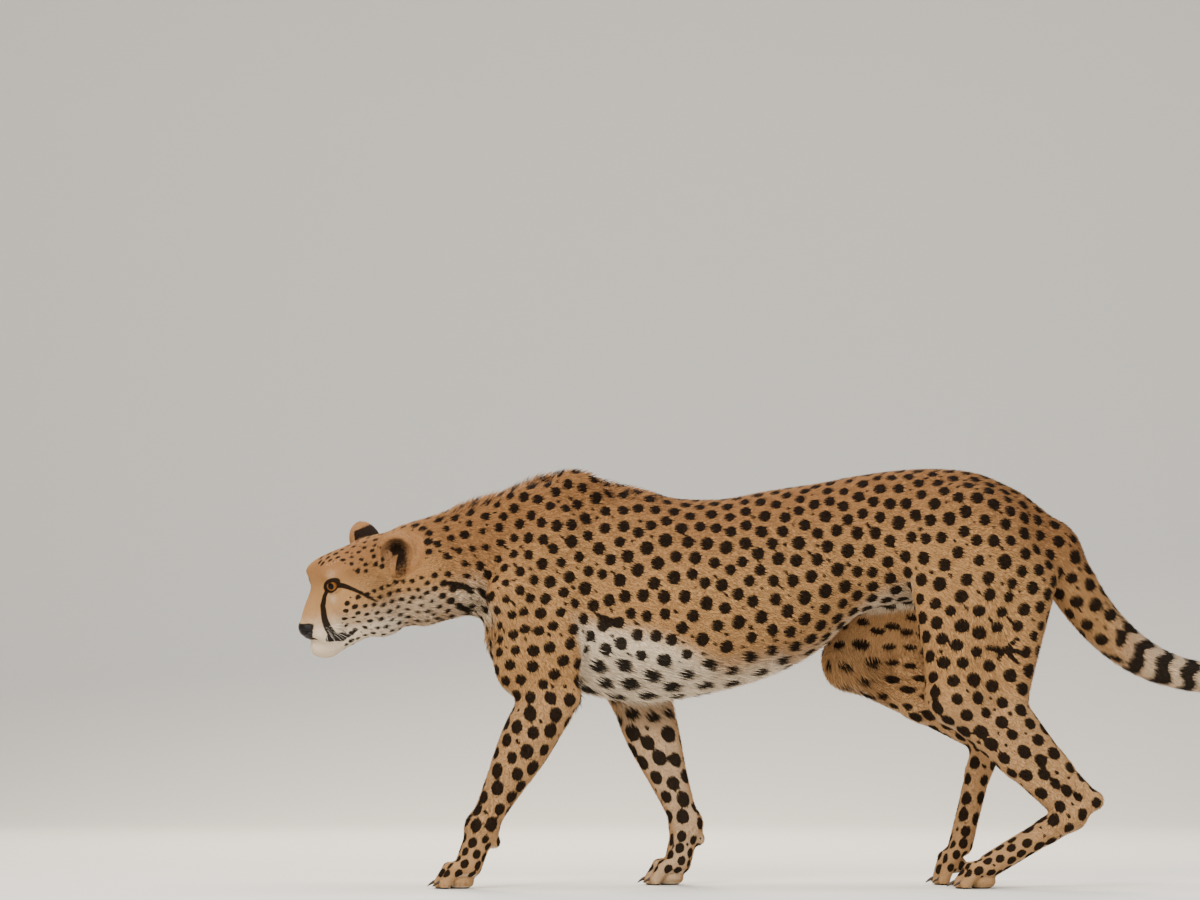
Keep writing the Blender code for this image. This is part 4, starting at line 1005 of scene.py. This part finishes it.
# Tufts by region: length and width in cm, lift from the skin, and tufts per square centimetre.
coat = {
    "length": {"trunk": 1.15, "spine": 1.35, "neck": 1.35, "leg": 0.75, "belly": 2.3, "mane": 2.0,
               "chest": 1.9, "paw": 0.42, "tail": 1.5, "tailTip": 2.4, "head": 0.75, "cheek": 1.1,
               "ruff": 1.7, "face": 0.36, "ear": 0.5, "bare": 0.1},
    "width": {"trunk": 0.20, "long": 0.17, "leg": 0.15, "paw": 0.11, "head": 0.13, "face": 0.085},
    "lift": {"trunk": 0.36, "mane": 0.8, "belly": 0.42, "tailTip": 0.45, "face": 0.32},
    "density": {"trunk": 17.0, "leg": 26.0, "paw": 40.0, "head": 38.0, "face": 70.0},
    "tangle": 0.15, "patch": 0.003,
}
ruff = masks["head"] * closeTo((-1.5, 5.5, -8.5), 4.0)


def coatMaps():
    x, y, z = skinAt.T
    regions = {
        **masks,
        "spine": fade(trunkTop - 4, trunkTop - 1, z),
        "chest": fade(-4, -12, x) * fade(50, 40, z) * (1 - masks["leg"]) * (abs(y) < 7),
        "tailTip": masks["tail"] * masks["tailTip"],
        "cheek": masks["head"] * closeTo((4.0, 5.5, -7.0), 4.5),
        "ruff": ruff,
        "ear": onEar,
        "long": np.maximum(masks["mane"], masks["belly"]),
    }
    length, width, lift, density = (layered(coat[name], regions)
                                    for name in ("length", "width", "lift", "density"))
    eyes = [np.linalg.norm(skinAt - centre, axis=1) < eye["radius"] + 0.16 for centre in eyeCentres.values()]
    soles = (z < 0.6) & (skinNormal[:, 2] < -0.3) | (z < 0.32)
    lips = segmentDistance(qSide, mouthLine)[0] < 0.2
    return length, width, lift, density * ~(onPad | eyes[0] | eyes[1] | soles | lips)


tuftLength, tuftWidth, tuftLift, tuftDensity = coatMaps()

# Each piece of coat covers one stretch of the body, so that each stays light enough.
stretches = ("Face", "Head", "Neck", "Chest", "Loin", "Haunch", "ForelegLeft", "ForelegRight",
             "HindlegLeft", "HindlegRight", "Tail")


def stretchOf(p):
    x, y, z = p.T
    m = masksAt(p)
    fore = (x < 16) & (z < 36) & (abs(y) > 4) | (x < 34) & (z < 29)
    hind = (x > 36) & (z < 42)
    number = np.full(len(p), stretches.index("Chest"))
    for name, covered in (
            ("Loin", x > 19), ("Haunch", x > 47), ("Neck", (x < -10) & (z > 38)),
            ("ForelegLeft", fore), ("ForelegRight", fore & (y > 0)),
            ("HindlegLeft", hind), ("HindlegRight", hind & (y > 0)),
            ("Tail", m["tail"] > 0.5), ("Head", m["head"] > 0.5),
            ("Face", (m["head"] > 0.5) & (headLocal(p)[:, 0] > 6.5))):
        number[covered] = stretches.index(name)
    return number


def unwrap(obj, numbers):  # each stretch of the skin laid flat in a square of its own
    mesh = obj.data
    mesh.uv_layers.new(name="rootUV")
    bpy.context.view_layer.objects.active = obj
    obj.select_set(True)
    for number in range(len(stretches)):
        mesh.polygons.foreach_set("select", numbers == number)
        bpy.ops.object.mode_set(mode="EDIT")
        bpy.context.tool_settings.mesh_select_mode = (False, False, True)
        bpy.ops.uv.smart_project(angle_limit=math.radians(70), island_margin=0.002)
        bpy.ops.object.mode_set(mode="OBJECT")
    obj.select_set(False)


def linked(name, mesh):
    obj = bpy.data.objects.new(name, mesh)
    bpy.context.scene.collection.objects.link(obj)
    return obj


def longHairAt():  # 1 where longer hairs stand among the tufts
    x, y, z = skinAt.T
    beard = masks["head"] * 0.7 * closeTo((14.2, 0.5, -12.0), 2.2)
    breast = fade(-4, -12, x) * fade(48, 38, z) * (abs(y) < 5)
    rest = masks["mane"] + masks["belly"] * 0.8 + masks["tail"] * masks["tailTip"] * 0.8
    return np.clip(rest + ruff + beard + breast, 0, 1) * (tuftDensity > 0)


stretchNumber = stretchOf(np.array([face.center for face in skinMesh.polygons]))
skinMaps = {
    "spot": spot, "ink": ink, "pale": pale, "tone": tone, "tuftLength": tuftLength * cm,
    "tuftWidth": tuftWidth * cm, "tuftLift": tuftLift, "tuftDensity": tuftDensity / cm ** 2,
    "longHair": longHairAt() / cm ** 2,
}
for name, values in skinMaps.items():
    setAttribute(skinMesh, name, values)
setAttribute(skinMesh, "lie", lie, "FLOAT_VECTOR")
setAttribute(skinMesh, "stretch", stretchNumber, "INT", "FACE")
setPoints(skinMesh, toWorld(skinAt))
skinMesh.shade_smooth()
skinPiece = linked("skin", skinMesh)
unwrap(skinPiece, stretchNumber)
print("skin: unwrapped")


def linear(red, green, blue):  # a screen colour of 0 to 255 as the shader takes it
    return tuple((v / 255 / 12.92 if v / 255 <= 0.04045 else ((v / 255 + 0.055) / 1.055) ** 2.4)
                 for v in (red, green, blue)) + (1.0,)


finish = {
    "back": linear(146, 103, 63), "flank": linear(177, 135, 88), "white": linear(222, 203, 176),
    "spot": linear(16, 8, 4), "leather": linear(13, 10, 9), "leatherPale": linear(24, 18, 16),
    "horn": linear(30, 22, 17), "hornPale": linear(74, 57, 43), "iris": linear(134, 82, 28),
    "irisEdge": linear(62, 32, 10), "pupil": (0.002, 0.002, 0.002, 1), "sclera": linear(34, 20, 14),
    "whisker": linear(238, 232, 220), "whiskerDull": linear(208, 196, 176), "floor": linear(214, 210, 203),
}


def feed(tree, socket, value):  # links a socket to another, or sets its value
    if isinstance(value, bpy.types.NodeSocket):
        tree.links.new(value, socket)
    else:
        socket.default_value = value


def add(tree, kind, inputs=None, **settings):
    node = tree.nodes.new(kind)
    for name, value in settings.items():
        setattr(node, name, value)
    for name, value in (inputs or {}).items():
        feed(tree, node.inputs[name], value)
    return node


def mixColour(tree, share, a, b):
    return add(tree, "ShaderNodeMix", {0: share, 6: a, 7: b}, data_type="RGBA").outputs[2]


def calculate(tree, operation, *values):
    return add(tree, "ShaderNodeMath", dict(enumerate(values)), operation=operation).outputs[0]


def stepUp(tree, value, low, high):
    return add(tree, "ShaderNodeMapRange", {0: value, 1: low, 2: high, 3: 0.0, 4: 1.0},
               interpolation_type="SMOOTHSTEP").outputs[0]


def noise(tree, place, scale, detail=2.0, stretch=None):
    if stretch is not None:
        place = add(tree, "ShaderNodeMapping", {"Vector": place, "Scale": stretch}).outputs[0]
    return add(tree, "ShaderNodeTexNoise", {"Vector": place, "Scale": scale, "Detail": detail}).outputs[0]


def objectPlace(tree):
    return add(tree, "ShaderNodeTexCoord").outputs["Object"]


def bumped(tree, shader, height, strength, distance):
    bump = add(tree, "ShaderNodeBump", {"Height": height, "Strength": strength, "Distance": distance})
    tree.links.new(bump.outputs[0], shader.inputs["Normal"])


def makeCoatColour():  # the colour of skin and coat from the same marks
    group = bpy.data.node_groups.new("coatColour", "ShaderNodeTree")
    for name in ("Spot", "Ink", "Pale", "Tone", "Shade"):
        group.interface.new_socket(name, in_out="INPUT", socket_type="NodeSocketFloat")
    group.interface.new_socket("Place", in_out="INPUT", socket_type="NodeSocketVector")
    group.interface.new_socket("Colour", in_out="OUTPUT", socket_type="NodeSocketColor")
    given = add(group, "NodeGroupInput")
    result = add(group, "NodeGroupOutput")
    place = given.outputs["Place"]
    patchy = noise(group, place, 14.0, 3.0)
    fine = calculate(group, "SUBTRACT", noise(group, place, 260.0), 0.5)

    def ragged(name, amount, low, high):  # a mark with its edge broken up
        broken = calculate(group, "MULTIPLY_ADD", fine, amount, given.outputs[name])
        return stepUp(group, broken, low, high)

    ground = mixColour(group, given.outputs["Tone"], finish["flank"], finish["back"])
    ground = mixColour(group, calculate(group, "MULTIPLY", patchy, 0.35), ground, finish["back"])
    ground = mixColour(group, ragged("Pale", 0.35, 0.02, 0.98), ground, finish["white"])
    dark = calculate(group, "MAXIMUM", ragged("Spot", 0.3, -0.08, 0.08), ragged("Ink", 0.12, -0.06, 0.06))
    colour = mixColour(group, calculate(group, "MULTIPLY", dark, 0.97), ground, finish["spot"])
    # Shade scales the brightness: a random tint for each tuft, and on the coat painted shade at the tuft
    # roots
    bright = calculate(group, "MULTIPLY_ADD", given.outputs["Shade"], 0.5, 0.75)
    scaled = add(group, "ShaderNodeVectorMath", {0: colour, "Scale": bright}, operation="SCALE")
    group.links.new(scaled.outputs[0], result.inputs["Colour"])
    return group


coatColour = makeCoatColour()


def newMaterial(name, **values):
    material = bpy.data.materials.new(name)
    material.use_nodes = True
    shader = material.node_tree.nodes["Principled BSDF"]
    for socket, value in values.items():
        shader.inputs[socket.replace("_", " ")].default_value = value
    return material, material.node_tree, shader


def attribute(tree, name):
    return add(tree, "ShaderNodeAttribute", attribute_name=name).outputs["Fac"]


def furred(tree, shader, shade):
    group = add(tree, "ShaderNodeGroup", node_tree=coatColour)
    marks = {name: attribute(tree, name.lower()) for name in ("Spot", "Ink", "Pale", "Tone")}
    for name, value in {**marks, "Shade": shade, "Place": objectPlace(tree)}.items():
        feed(tree, group.inputs[name], value)
    tree.links.new(group.outputs["Colour"], shader.inputs["Base Color"])


skinFinish, tree, shader = newMaterial("shortFurSkin", Roughness=0.9, Specular_IOR_Level=0.1)
furred(tree, shader, 0.35)
bumped(tree, shader, noise(tree, objectPlace(tree), 620.0, 3.0), 0.5, 0.0012)
skinMesh.materials.append(skinFinish)

coatFinish, tree, shader = newMaterial("furTufts", Roughness=0.7, Specular_IOR_Level=0.12)
# painted shade: each tuft darker at its root than at its tip, on top of its own random tint
tintAndRootShade = calculate(tree, "MULTIPLY_ADD", attribute(tree, "tuftHeight"), 0.35, attribute(tree, "tuftShade"))
furred(tree, shader, calculate(tree, "MULTIPLY", tintAndRootShade, 0.8))


def tuftShape(name, stations):  # a closed three-sided tuft along +X; stations: x, half-width, rise
    bm = bmesh.new()
    rings = []
    for x, half, rise in stations[:-1]:
        rings.append([bm.verts.new((x, half, rise)), bm.verts.new((x, -half, rise)),
                      bm.verts.new((x, 0, rise + 0.9 * half))])
    tipX, _, tipRise = stations[-1]
    tip = bm.verts.new((tipX, 0, tipRise))
    bm.faces.new(rings[0])
    for a, b in zip(rings[:-1], rings[1:]):
        for k in range(3):
            bm.faces.new((a[k], b[k], b[(k + 1) % 3], a[(k + 1) % 3]))
    for k in range(3):
        bm.faces.new((rings[-1][k], tip, rings[-1][(k + 1) % 3]))
    bmesh.ops.recalc_face_normals(bm, faces=bm.faces)
    mesh = bpy.data.meshes.new(name)
    bm.to_mesh(mesh)
    bm.free()
    mesh.shade_smooth()
    places = np.array([v.co for v in mesh.vertices])
    setAttribute(mesh, "tuftHeight", (places[:, 0] - stations[0][0]) / (tipX - stations[0][0]))
    setAttribute(mesh, "tuftPatch", places * (1, 1, 0), "FLOAT_VECTOR")
    return linked(name, mesh)


shortTuft = tuftShape("shortTuft", ((-0.35, 0.5, -0.25), (0.65, 0, 0.1)))
longTuft = tuftShape("longTuft", ((-0.2, 0.5, -0.3), (0.4, 0.4, 0.25), (0.8, 0, -0.6)))


def coatTree():  # tufts over one stretch of the skin, leaning along its lie
    tree = bpy.data.node_groups.new("coatTufts", "GeometryNodeTree")
    tree.interface.new_socket("Geometry", in_out="OUTPUT", socket_type="NodeSocketGeometry")
    for name, kind in (("Geometry", "Geometry"), ("Stretch", "Int"), ("Everywhere", "Bool"), ("Seed", "Int"),
                       ("Density share", "Float"), ("Length share", "Float"), ("Tangle", "Float"),
                       ("Patch", "Float"), ("Tuft", "Object"), ("Finish", "Material"), ("Thick", "String")):
        tree.interface.new_socket(name, in_out="INPUT", socket_type="NodeSocket" + kind)
    given = add(tree, "NodeGroupInput").outputs

    def read(name, kind="FLOAT"):
        return add(tree, "GeometryNodeInputNamedAttribute", {"Name": name}, data_type=kind).outputs[0]

    def sumOf(a, b):
        return add(tree, "ShaderNodeVectorMath", {0: a, 1: b}, operation="ADD").outputs[0]

    def scaled(a, scale):
        return add(tree, "ShaderNodeVectorMath", {0: a, "Scale": scale}, operation="SCALE").outputs[0]

    def chance(low, high, offset):
        seed = calculate(tree, "ADD", given["Seed"], float(offset))
        return add(tree, "FunctionNodeRandomValue", {2: low, 3: high, "Seed": seed}).outputs[1]

    same = add(tree, "FunctionNodeCompare", {2: read("stretch", "INT"), 3: given["Stretch"]},
               data_type="INT", operation="EQUAL").outputs[0]
    chosen = add(tree, "FunctionNodeBooleanMath", {0: same, 1: given["Everywhere"]}, operation="OR")
    thickness = calculate(tree, "MULTIPLY", read(given["Thick"]), given["Density share"])
    spread = add(tree, "GeometryNodeDistributePointsOnFaces",
                 {"Mesh": given["Geometry"], "Selection": chosen.outputs[0], "Density": thickness,
                  "Seed": given["Seed"]}, distribute_method="RANDOM")
    normal = spread.outputs["Normal"]
    anyWay = add(tree, "FunctionNodeRandomValue",
                 {0: (-1, -1, -1), 1: (1, 1, 1), "Seed": calculate(tree, "ADD", given["Seed"], 1.0)},
                 data_type="FLOAT_VECTOR").outputs[0]
    lean = sumOf(read("lie", "FLOAT_VECTOR"), scaled(normal, read("tuftLift")))
    along = sumOf(lean, scaled(anyWay, given["Tangle"]))
    turn = add(tree, "FunctionNodeAxesToRotation", {0: along, 1: normal},
               primary_axis="X", secondary_axis="Z")
    long = calculate(tree, "MULTIPLY", read("tuftLength"), given["Length share"])
    long = calculate(tree, "MULTIPLY", long, chance(0.7, 1.2, 2))
    wide = calculate(tree, "MULTIPLY", read("tuftWidth"), chance(0.75, 1.25, 3))
    size = add(tree, "ShaderNodeCombineXYZ", {0: long, 1: wide, 2: wide})
    tuft = add(tree, "GeometryNodeObjectInfo", {"Object": given["Tuft"]})
    copies = add(tree, "GeometryNodeInstanceOnPoints",
                 {"Points": spread.outputs["Points"], "Instance": tuft.outputs["Geometry"],
                  "Rotation": turn.outputs[0], "Scale": size.outputs[0]})
    shaded = add(tree, "GeometryNodeStoreNamedAttribute",
                 {"Geometry": copies.outputs[0], "Name": "tuftShade", "Value": chance(0.0, 1.0, 4)},
                 data_type="FLOAT", domain="INSTANCE")
    real = add(tree, "GeometryNodeRealizeInstances", {0: shaded.outputs[0]})
    patch = sumOf(read("rootUV", "FLOAT_VECTOR"), scaled(read("tuftPatch", "FLOAT_VECTOR"), given["Patch"]))
    mapped = add(tree, "GeometryNodeStoreNamedAttribute",
                 {"Geometry": real.outputs[0], "Name": "OFBake", "Value": patch},
                 data_type="FLOAT2", domain="CORNER")
    dressed = add(tree, "GeometryNodeSetMaterial",
                  {"Geometry": mapped.outputs[0], "Material": given["Finish"]})
    add(tree, "NodeGroupOutput", {0: dressed.outputs[0]})
    return tree


coatNodes = coatTree()


def growCoat(name, settings):  # runs the tree over the skin and keeps the result as a plain mesh
    grower = linked("grower", skinMesh)
    modifier = grower.modifiers.new("Coat", "NODES")
    modifier.node_group = coatNodes
    for item in coatNodes.interface.items_tree:
        if item.in_out == "INPUT" and item.name in settings:
            modifier[item.identifier] = settings[item.name]
    grown = grower.evaluated_get(bpy.context.evaluated_depsgraph_get())
    mesh = bpy.data.meshes.new_from_object(grown)
    bpy.data.objects.remove(grower)
    mesh.name = name
    setPoints(mesh, np.maximum(pointsOf(mesh), (-9, -9, 0)))  # no tip dips into the floor
    for unused in ("lie", "stretch", "tuftLength", "tuftWidth", "tuftLift", "tuftDensity", "longHair",
                   "tuftPatch", "rootUV"):
        if unused in mesh.attributes:
            mesh.attributes.remove(mesh.attributes[unused])
    print("coat:", name, sum(len(face.vertices) - 2 for face in mesh.polygons), "triangles")
    return linked(name, mesh)


common = {"Everywhere": False, "Density share": 1.0, "Length share": 1.0, "Tangle": coat["tangle"],
          "Patch": coat["patch"], "Tuft": shortTuft, "Finish": coatFinish, "Thick": "tuftDensity"}
longer = {"Everywhere": True, "Density share": 5.0, "Length share": 1.15, "Tuft": longTuft,
          "Thick": "longHair", "Stretch": -1, "Seed": 5}
coatPieces = [growCoat("coat" + stretch, {**common, "Stretch": number, "Seed": 11 + number})
              for number, stretch in enumerate(stretches)]
coatPieces.append(growCoat("coatLong", {**common, **longer}))
for helper in (shortTuft, longTuft):
    bpy.data.objects.remove(helper)


def finished(bm, name, material):
    bmesh.ops.recalc_face_normals(bm, faces=bm.faces)
    mesh = bpy.data.meshes.new(name)
    bm.to_mesh(mesh)
    bm.free()
    mesh.materials.append(material)
    mesh.shade_smooth()
    return linked(name, mesh)


def carried(piece, slot, *nodes):  # rides on the body and stands for the nodes
    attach(piece, "root")
    if nodes:
        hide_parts(*nodes)


def polarBall(name, centre, axes, radius, material):  # an eyeball whose pole looks along the gaze
    turns, rings = 56, 34
    profile = [math.pi * (ring / rings) ** 1.3 for ring in range(rings + 1)]
    bm = bmesh.new()

    def point(angle, turn):
        around = 2 * math.pi * turn / turns
        way = axes @ (math.cos(angle), math.sin(angle) * math.cos(around), math.sin(angle) * math.sin(around))
        swell = 1 + eye["cornea"] * math.exp(-(angle / eye["iris"]) ** 4)  # the cornea
        return bm.verts.new(toWorld(centre + way * radius * swell))

    front, back = point(0, 0), point(math.pi, 0)
    loops = [[point(angle, turn) for turn in range(turns)] for angle in profile[1:-1]]
    for turn in range(turns):
        following = (turn + 1) % turns
        bm.faces.new((front, loops[0][turn], loops[0][following]))
        bm.faces.new((back, loops[-1][following], loops[-1][turn]))
        for a, b in zip(loops[:-1], loops[1:]):
            bm.faces.new((a[turn], b[turn], b[following], a[following]))
    ball = finished(bm, name, material)
    ahead, inwards, up = ((pointsOf(ball.data) - toWorld(centre)) / cm @ axes).T
    across = np.hypot(inwards, up)
    angle = np.arctan2(across, ahead)
    turned = np.stack([inwards / (across + 1e-6), up / (across + 1e-6), angle], axis=1)
    setAttribute(ball.data, "gazeAngle", angle)
    setAttribute(ball.data, "gazeTurn", turned, "FLOAT_VECTOR")
    return ball


eyeFinish, tree, shader = newMaterial("wetEye", Roughness=0.3, Specular_IOR_Level=0.05, Coat_Weight=0.12,
                                      Coat_Roughness=0.03)
angle = attribute(tree, "gazeAngle")
turn = add(tree, "ShaderNodeAttribute", attribute_name="gazeTurn").outputs["Vector"]
fibres = noise(tree, turn, 9.0, 4.0, (2.2, 2.2, 0.5))
outwards = stepUp(tree, angle, eye["pupil"] * 1.1, eye["iris"])
inPupil = stepUp(tree, angle, eye["pupil"] - 0.03, eye["pupil"] + 0.03)
inIris = stepUp(tree, angle, eye["iris"] - 0.06, eye["iris"] + 0.04)
colour = mixColour(tree, outwards, finish["iris"], finish["irisEdge"])
colour = mixColour(tree, calculate(tree, "MULTIPLY", fibres, 0.55), colour, finish["irisEdge"])
colour = mixColour(tree, inIris, mixColour(tree, inPupil, finish["pupil"], colour), finish["sclera"])
tree.links.new(colour, shader.inputs["Base Color"])
for side, word in both:
    gaze, _, up = eyeFrame[side].T
    axes = np.stack([gaze, np.cross(up, gaze), up], axis=1)
    ball = polarBall(f"eyeball_{word}", eyeCentres[side], axes, eye["radius"], eyeFinish)
    carried(ball, "eye", f"eye_{word}")

leatherFinish, tree, shader = newMaterial("noseLeather", Roughness=0.45, Specular_IOR_Level=0.2)
mottle = noise(tree, objectPlace(tree), 120.0)
tree.links.new(mixColour(tree, mottle, finish["leather"], finish["leatherPale"]), shader.inputs["Base Color"])
pebbles = add(tree, "ShaderNodeTexVoronoi", {"Vector": objectPlace(tree), "Scale": 900.0}, feature="F1")
bumped(tree, shader, pebbles.outputs["Distance"], 0.4, 0.0005)


def noseLeather():  # the skin's own surface at the nose, lifted a little and closed behind
    bm = bmesh.new()
    bm.from_mesh(skinMesh)
    bm.verts.ensure_lookup_table()
    away = [v for v, keep in zip(bm.verts, onPad) if not keep]
    bmesh.ops.delete(bm, geom=away, context="VERTS")
    mesh = bpy.data.meshes.new("noseLeather")
    bm.to_mesh(mesh)
    bm.free()
    mesh.attributes.remove(mesh.attributes["rootUV"])
    mesh.materials.append(leatherFinish)
    piece = linked("noseLeather", mesh)
    wall = piece.modifiers.new("Wall", "SOLIDIFY")
    wall.thickness = 0.0014
    wall.offset = -0.6
    return piece


carried(noseLeather(), "nose_leather", "nose")


def tubeMesh(bm, path, radii, corners):  # a closed tapered tube through the points of path
    path = np.array(path, float)
    across = unit(np.cross(path[-1] - path[0], (0.13, 0.07, 1.0)))
    rings = []
    for k, (centre, radius) in enumerate(zip(path, radii)):
        ahead = unit(path[min(k + 1, len(path) - 1)] - path[max(k - 1, 0)])
        u = unit(across - ahead * (across @ ahead))
        v = np.cross(ahead, u)
        wide, tall = radius
        rings.append([bm.verts.new(toWorld(centre + wide * math.cos(t) * u + tall * math.sin(t) * v))
                      for t in (2 * math.pi * i / corners for i in range(corners))])
    for a, b in zip(rings[:-1], rings[1:]):
        for i in range(corners):
            bm.faces.new((a[i], a[(i + 1) % corners], b[(i + 1) % corners], b[i]))
    bm.faces.new(rings[0][::-1])
    bm.faces.new(rings[-1])


hornFinish, tree, shader = newMaterial("clawHorn", Roughness=0.42, Specular_IOR_Level=0.3)
streaks = noise(tree, objectPlace(tree), 500.0, 3.0, (0.3, 1.0, 1.0))
tree.links.new(mixColour(tree, streaks, finish["horn"], finish["hornPale"]), shader.inputs["Base Color"])

claw = {"length": 1.65, "radius": 0.3, "flat": 0.72, "hook": 0.3, "root": (-0.5, 0.0, 0.35),
        "heading": (-1.0, 0.0, -0.25), "dewRoot": (-0.3, 0.0, -0.4), "dewHeading": (-0.6, 0.0, -0.8)}


def addClaw(name, root, ahead):
    steps = np.linspace(0, 1, 9)
    path = [root + (ahead * t - np.array((0, 0, claw["hook"] * t * t))) * claw["length"] for t in steps]
    radii = [(claw["radius"] * claw["flat"] * (1 - 0.93 * t ** 1.5), claw["radius"] * (1 - 0.93 * t ** 1.7))
             for t in steps]
    bm = bmesh.new()
    tubeMesh(bm, path, radii, 14)
    carried(finished(bm, name + "_horn", hornFinish), "claw", name)


for side, word in both:
    for limb, joints in (("forepaw", foreleg[side]), ("hindfoot", hindleg[side])):
        lines = toeLines(onSide(joints["knuckle"], side), onSide(joints["toe"], side))
        for number, (_, _, tip) in enumerate(lines, 1):
            addClaw(f"{limb}_{word}_claw_{number}", tip + claw["root"], unit(claw["heading"]))
    addClaw(f"forepaw_{word}_dewclaw", dewclawAt(side) + claw["dewRoot"], unit(claw["dewHeading"]))

whiskerFinish, tree, shader = newMaterial("whiskerHair", Roughness=0.4, Base_Color=finish["whisker"])
faded = noise(tree, objectPlace(tree), 60.0)
tree.links.new(mixColour(tree, faded, finish["whisker"], finish["whiskerDull"]), shader.inputs["Base Color"])

whisker = {"rows": 4, "columns": 4, "length": 5.2, "radius": 0.026, "droop": 0.9}


def addWhiskers():
    bm = bmesh.new()
    for side, _ in both:
        roots, ways, lengths = [], [], []
        for row in range(whisker["rows"]):
            for column in range(whisker["columns"]):
                roots.append(headPoint((15.0 - 0.62 * column - 0.15 * row, 3.6, -7.2 - 0.46 * row), side))
                ways.append(headWay((0.42 - 0.3 * column, 1.0, 0.22 - 0.2 * row), side))
                lengths.append(whisker["length"] * (0.62 + 0.13 * column) * draw.uniform(0.85, 1.1))
        for k in range(4):
            roots.append(headPoint((10.9 - 0.5 * k, 3.2 + 0.1 * k, 2.6), side))
            ways.append(headWay((0.75 - 0.25 * k, 0.35 + 0.1 * k, 1.0), side))
            lengths.append(2.0 * draw.uniform(0.8, 1.1))
        roots = settled(np.array(roots), 4)
        for root, way, length in zip(roots, ways, lengths):
            way = unit(way + draw.uniform(-0.08, 0.08, 3))
            path = [root + way * length * t - np.array((-0.35, 0, 1.0)) * whisker["droop"] * t * t
                    for t in np.linspace(-0.04, 1, 8)]
            thick = whisker["radius"] * (1.0 if length > 2.4 else 0.6)
            tubeMesh(bm, path, [(taper * thick,) * 2 for taper in np.linspace(1, 0.2, 8)], 5)
    return finished(bm, "whiskers", whiskerFinish)


carried(addWhiskers(), "coat")
carried(skinPiece, "coat", *[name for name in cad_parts
                             if "claw" not in name and "eye" not in name and name != "nose"])
for piece in coatPieces:
    carried(piece, "coat")
print("pieces ride on the body")

studio = {"lens": 216.0, "distance": 12.0, "fromNose": 0.50, "aim": 0.727, "height": 0.48,
          "key": 250.0, "top": 170.0, "fill": 75.0, "rim": 150.0, "world": 0.4,
          "floorHalf": 9.0, "floorFront": -14.0, "floorBack": 3.2, "bend": 1.6, "backdrop": 6.0}


def addFloor():  # a floor that sweeps up into a backdrop, clear from behind so that it hides nothing
    material, tree, shader = newMaterial("paleFloor", Roughness=0.85, Base_Color=finish["floor"])
    behind = add(tree, "ShaderNodeNewGeometry").outputs["Backfacing"]
    clear = add(tree, "ShaderNodeBsdfTransparent").outputs[0]
    seen = add(tree, "ShaderNodeMixShader", {0: behind, 1: shader.outputs[0], 2: clear})
    tree.links.new(seen.outputs[0], tree.nodes["Material Output"].inputs["Surface"])
    bm = bmesh.new()
    half, back, bend = studio["floorHalf"], studio["floorBack"], studio["bend"]
    profile = [(studio["floorFront"], 0.0), (back, 0.0)]
    profile += [(back + bend * math.sin(a), bend * (1 - math.cos(a)))
                for a in np.linspace(0.1, math.pi / 2, 14)]
    profile.append((back + bend, studio["backdrop"]))
    rows = [[bm.verts.new((x, y, z)) for y, z in profile] for x in (-half, half)]
    for k in range(len(profile) - 1):
        bm.faces.new((rows[0][k], rows[1][k], rows[1][k + 1], rows[0][k + 1]))
    mesh = bpy.data.meshes.new("floor")
    bm.to_mesh(mesh)
    bm.free()
    mesh.materials.append(material)
    mesh.shade_smooth()
    linked("floor", mesh)


def addLight(name, place, target, size, power, colour=(1, 1, 1)):
    data = bpy.data.lights.new(name, "AREA")
    data.shape = "DISK"
    data.size = size
    data.energy = power
    data.color = colour
    lamp = bpy.data.objects.new(name, data)
    bpy.context.scene.collection.objects.link(lamp)
    lamp.location = place
    lamp.rotation_euler = (Vector(target) - Vector(place)).to_track_quat("-Z", "Y").to_euler()


low, high = (Vector(corner) for corner in cadBox)
middle = (low + high) / 2
addFloor()
addLight("key", (low.x - 1.0, -3.6, 2.8), middle, 2.4, studio["key"], (1.0, 0.96, 0.9))
addLight("overhead", (middle.x, 0.4, 3.4), middle, 3.2, studio["top"])
addLight("fill", (high.x + 1.6, -3.0, 1.4), middle, 2.6, studio["fill"], (0.94, 0.97, 1.0))
addLight("rim", (middle.x - 0.6, 3.0, 2.3), middle, 1.8, studio["rim"], (1.0, 0.86, 0.66))
world = bpy.data.worlds.new("studio")
world.use_nodes = True
world.node_tree.nodes["Background"].inputs["Color"].default_value = (0.9, 0.92, 0.95, 1)
world.node_tree.nodes["Background"].inputs["Strength"].default_value = studio["world"]
bpy.context.scene.world = world

camera = bpy.data.objects.new("camera", bpy.data.cameras.new("camera"))
bpy.context.scene.collection.objects.link(camera)
camera.data.lens = studio["lens"]
camera.data.sensor_width = 36.0
camera.data.clip_end = 100.0
aim = Vector((low.x + studio["fromNose"], 0.0, studio["aim"]))
camera.location = (aim.x, -studio["distance"], studio["height"])
camera.rotation_euler = (aim - camera.location).to_track_quat("-Z", "Y").to_euler()
bpy.context.scene.camera = camera
print("studio set")

bpy.context.view_layer.update()
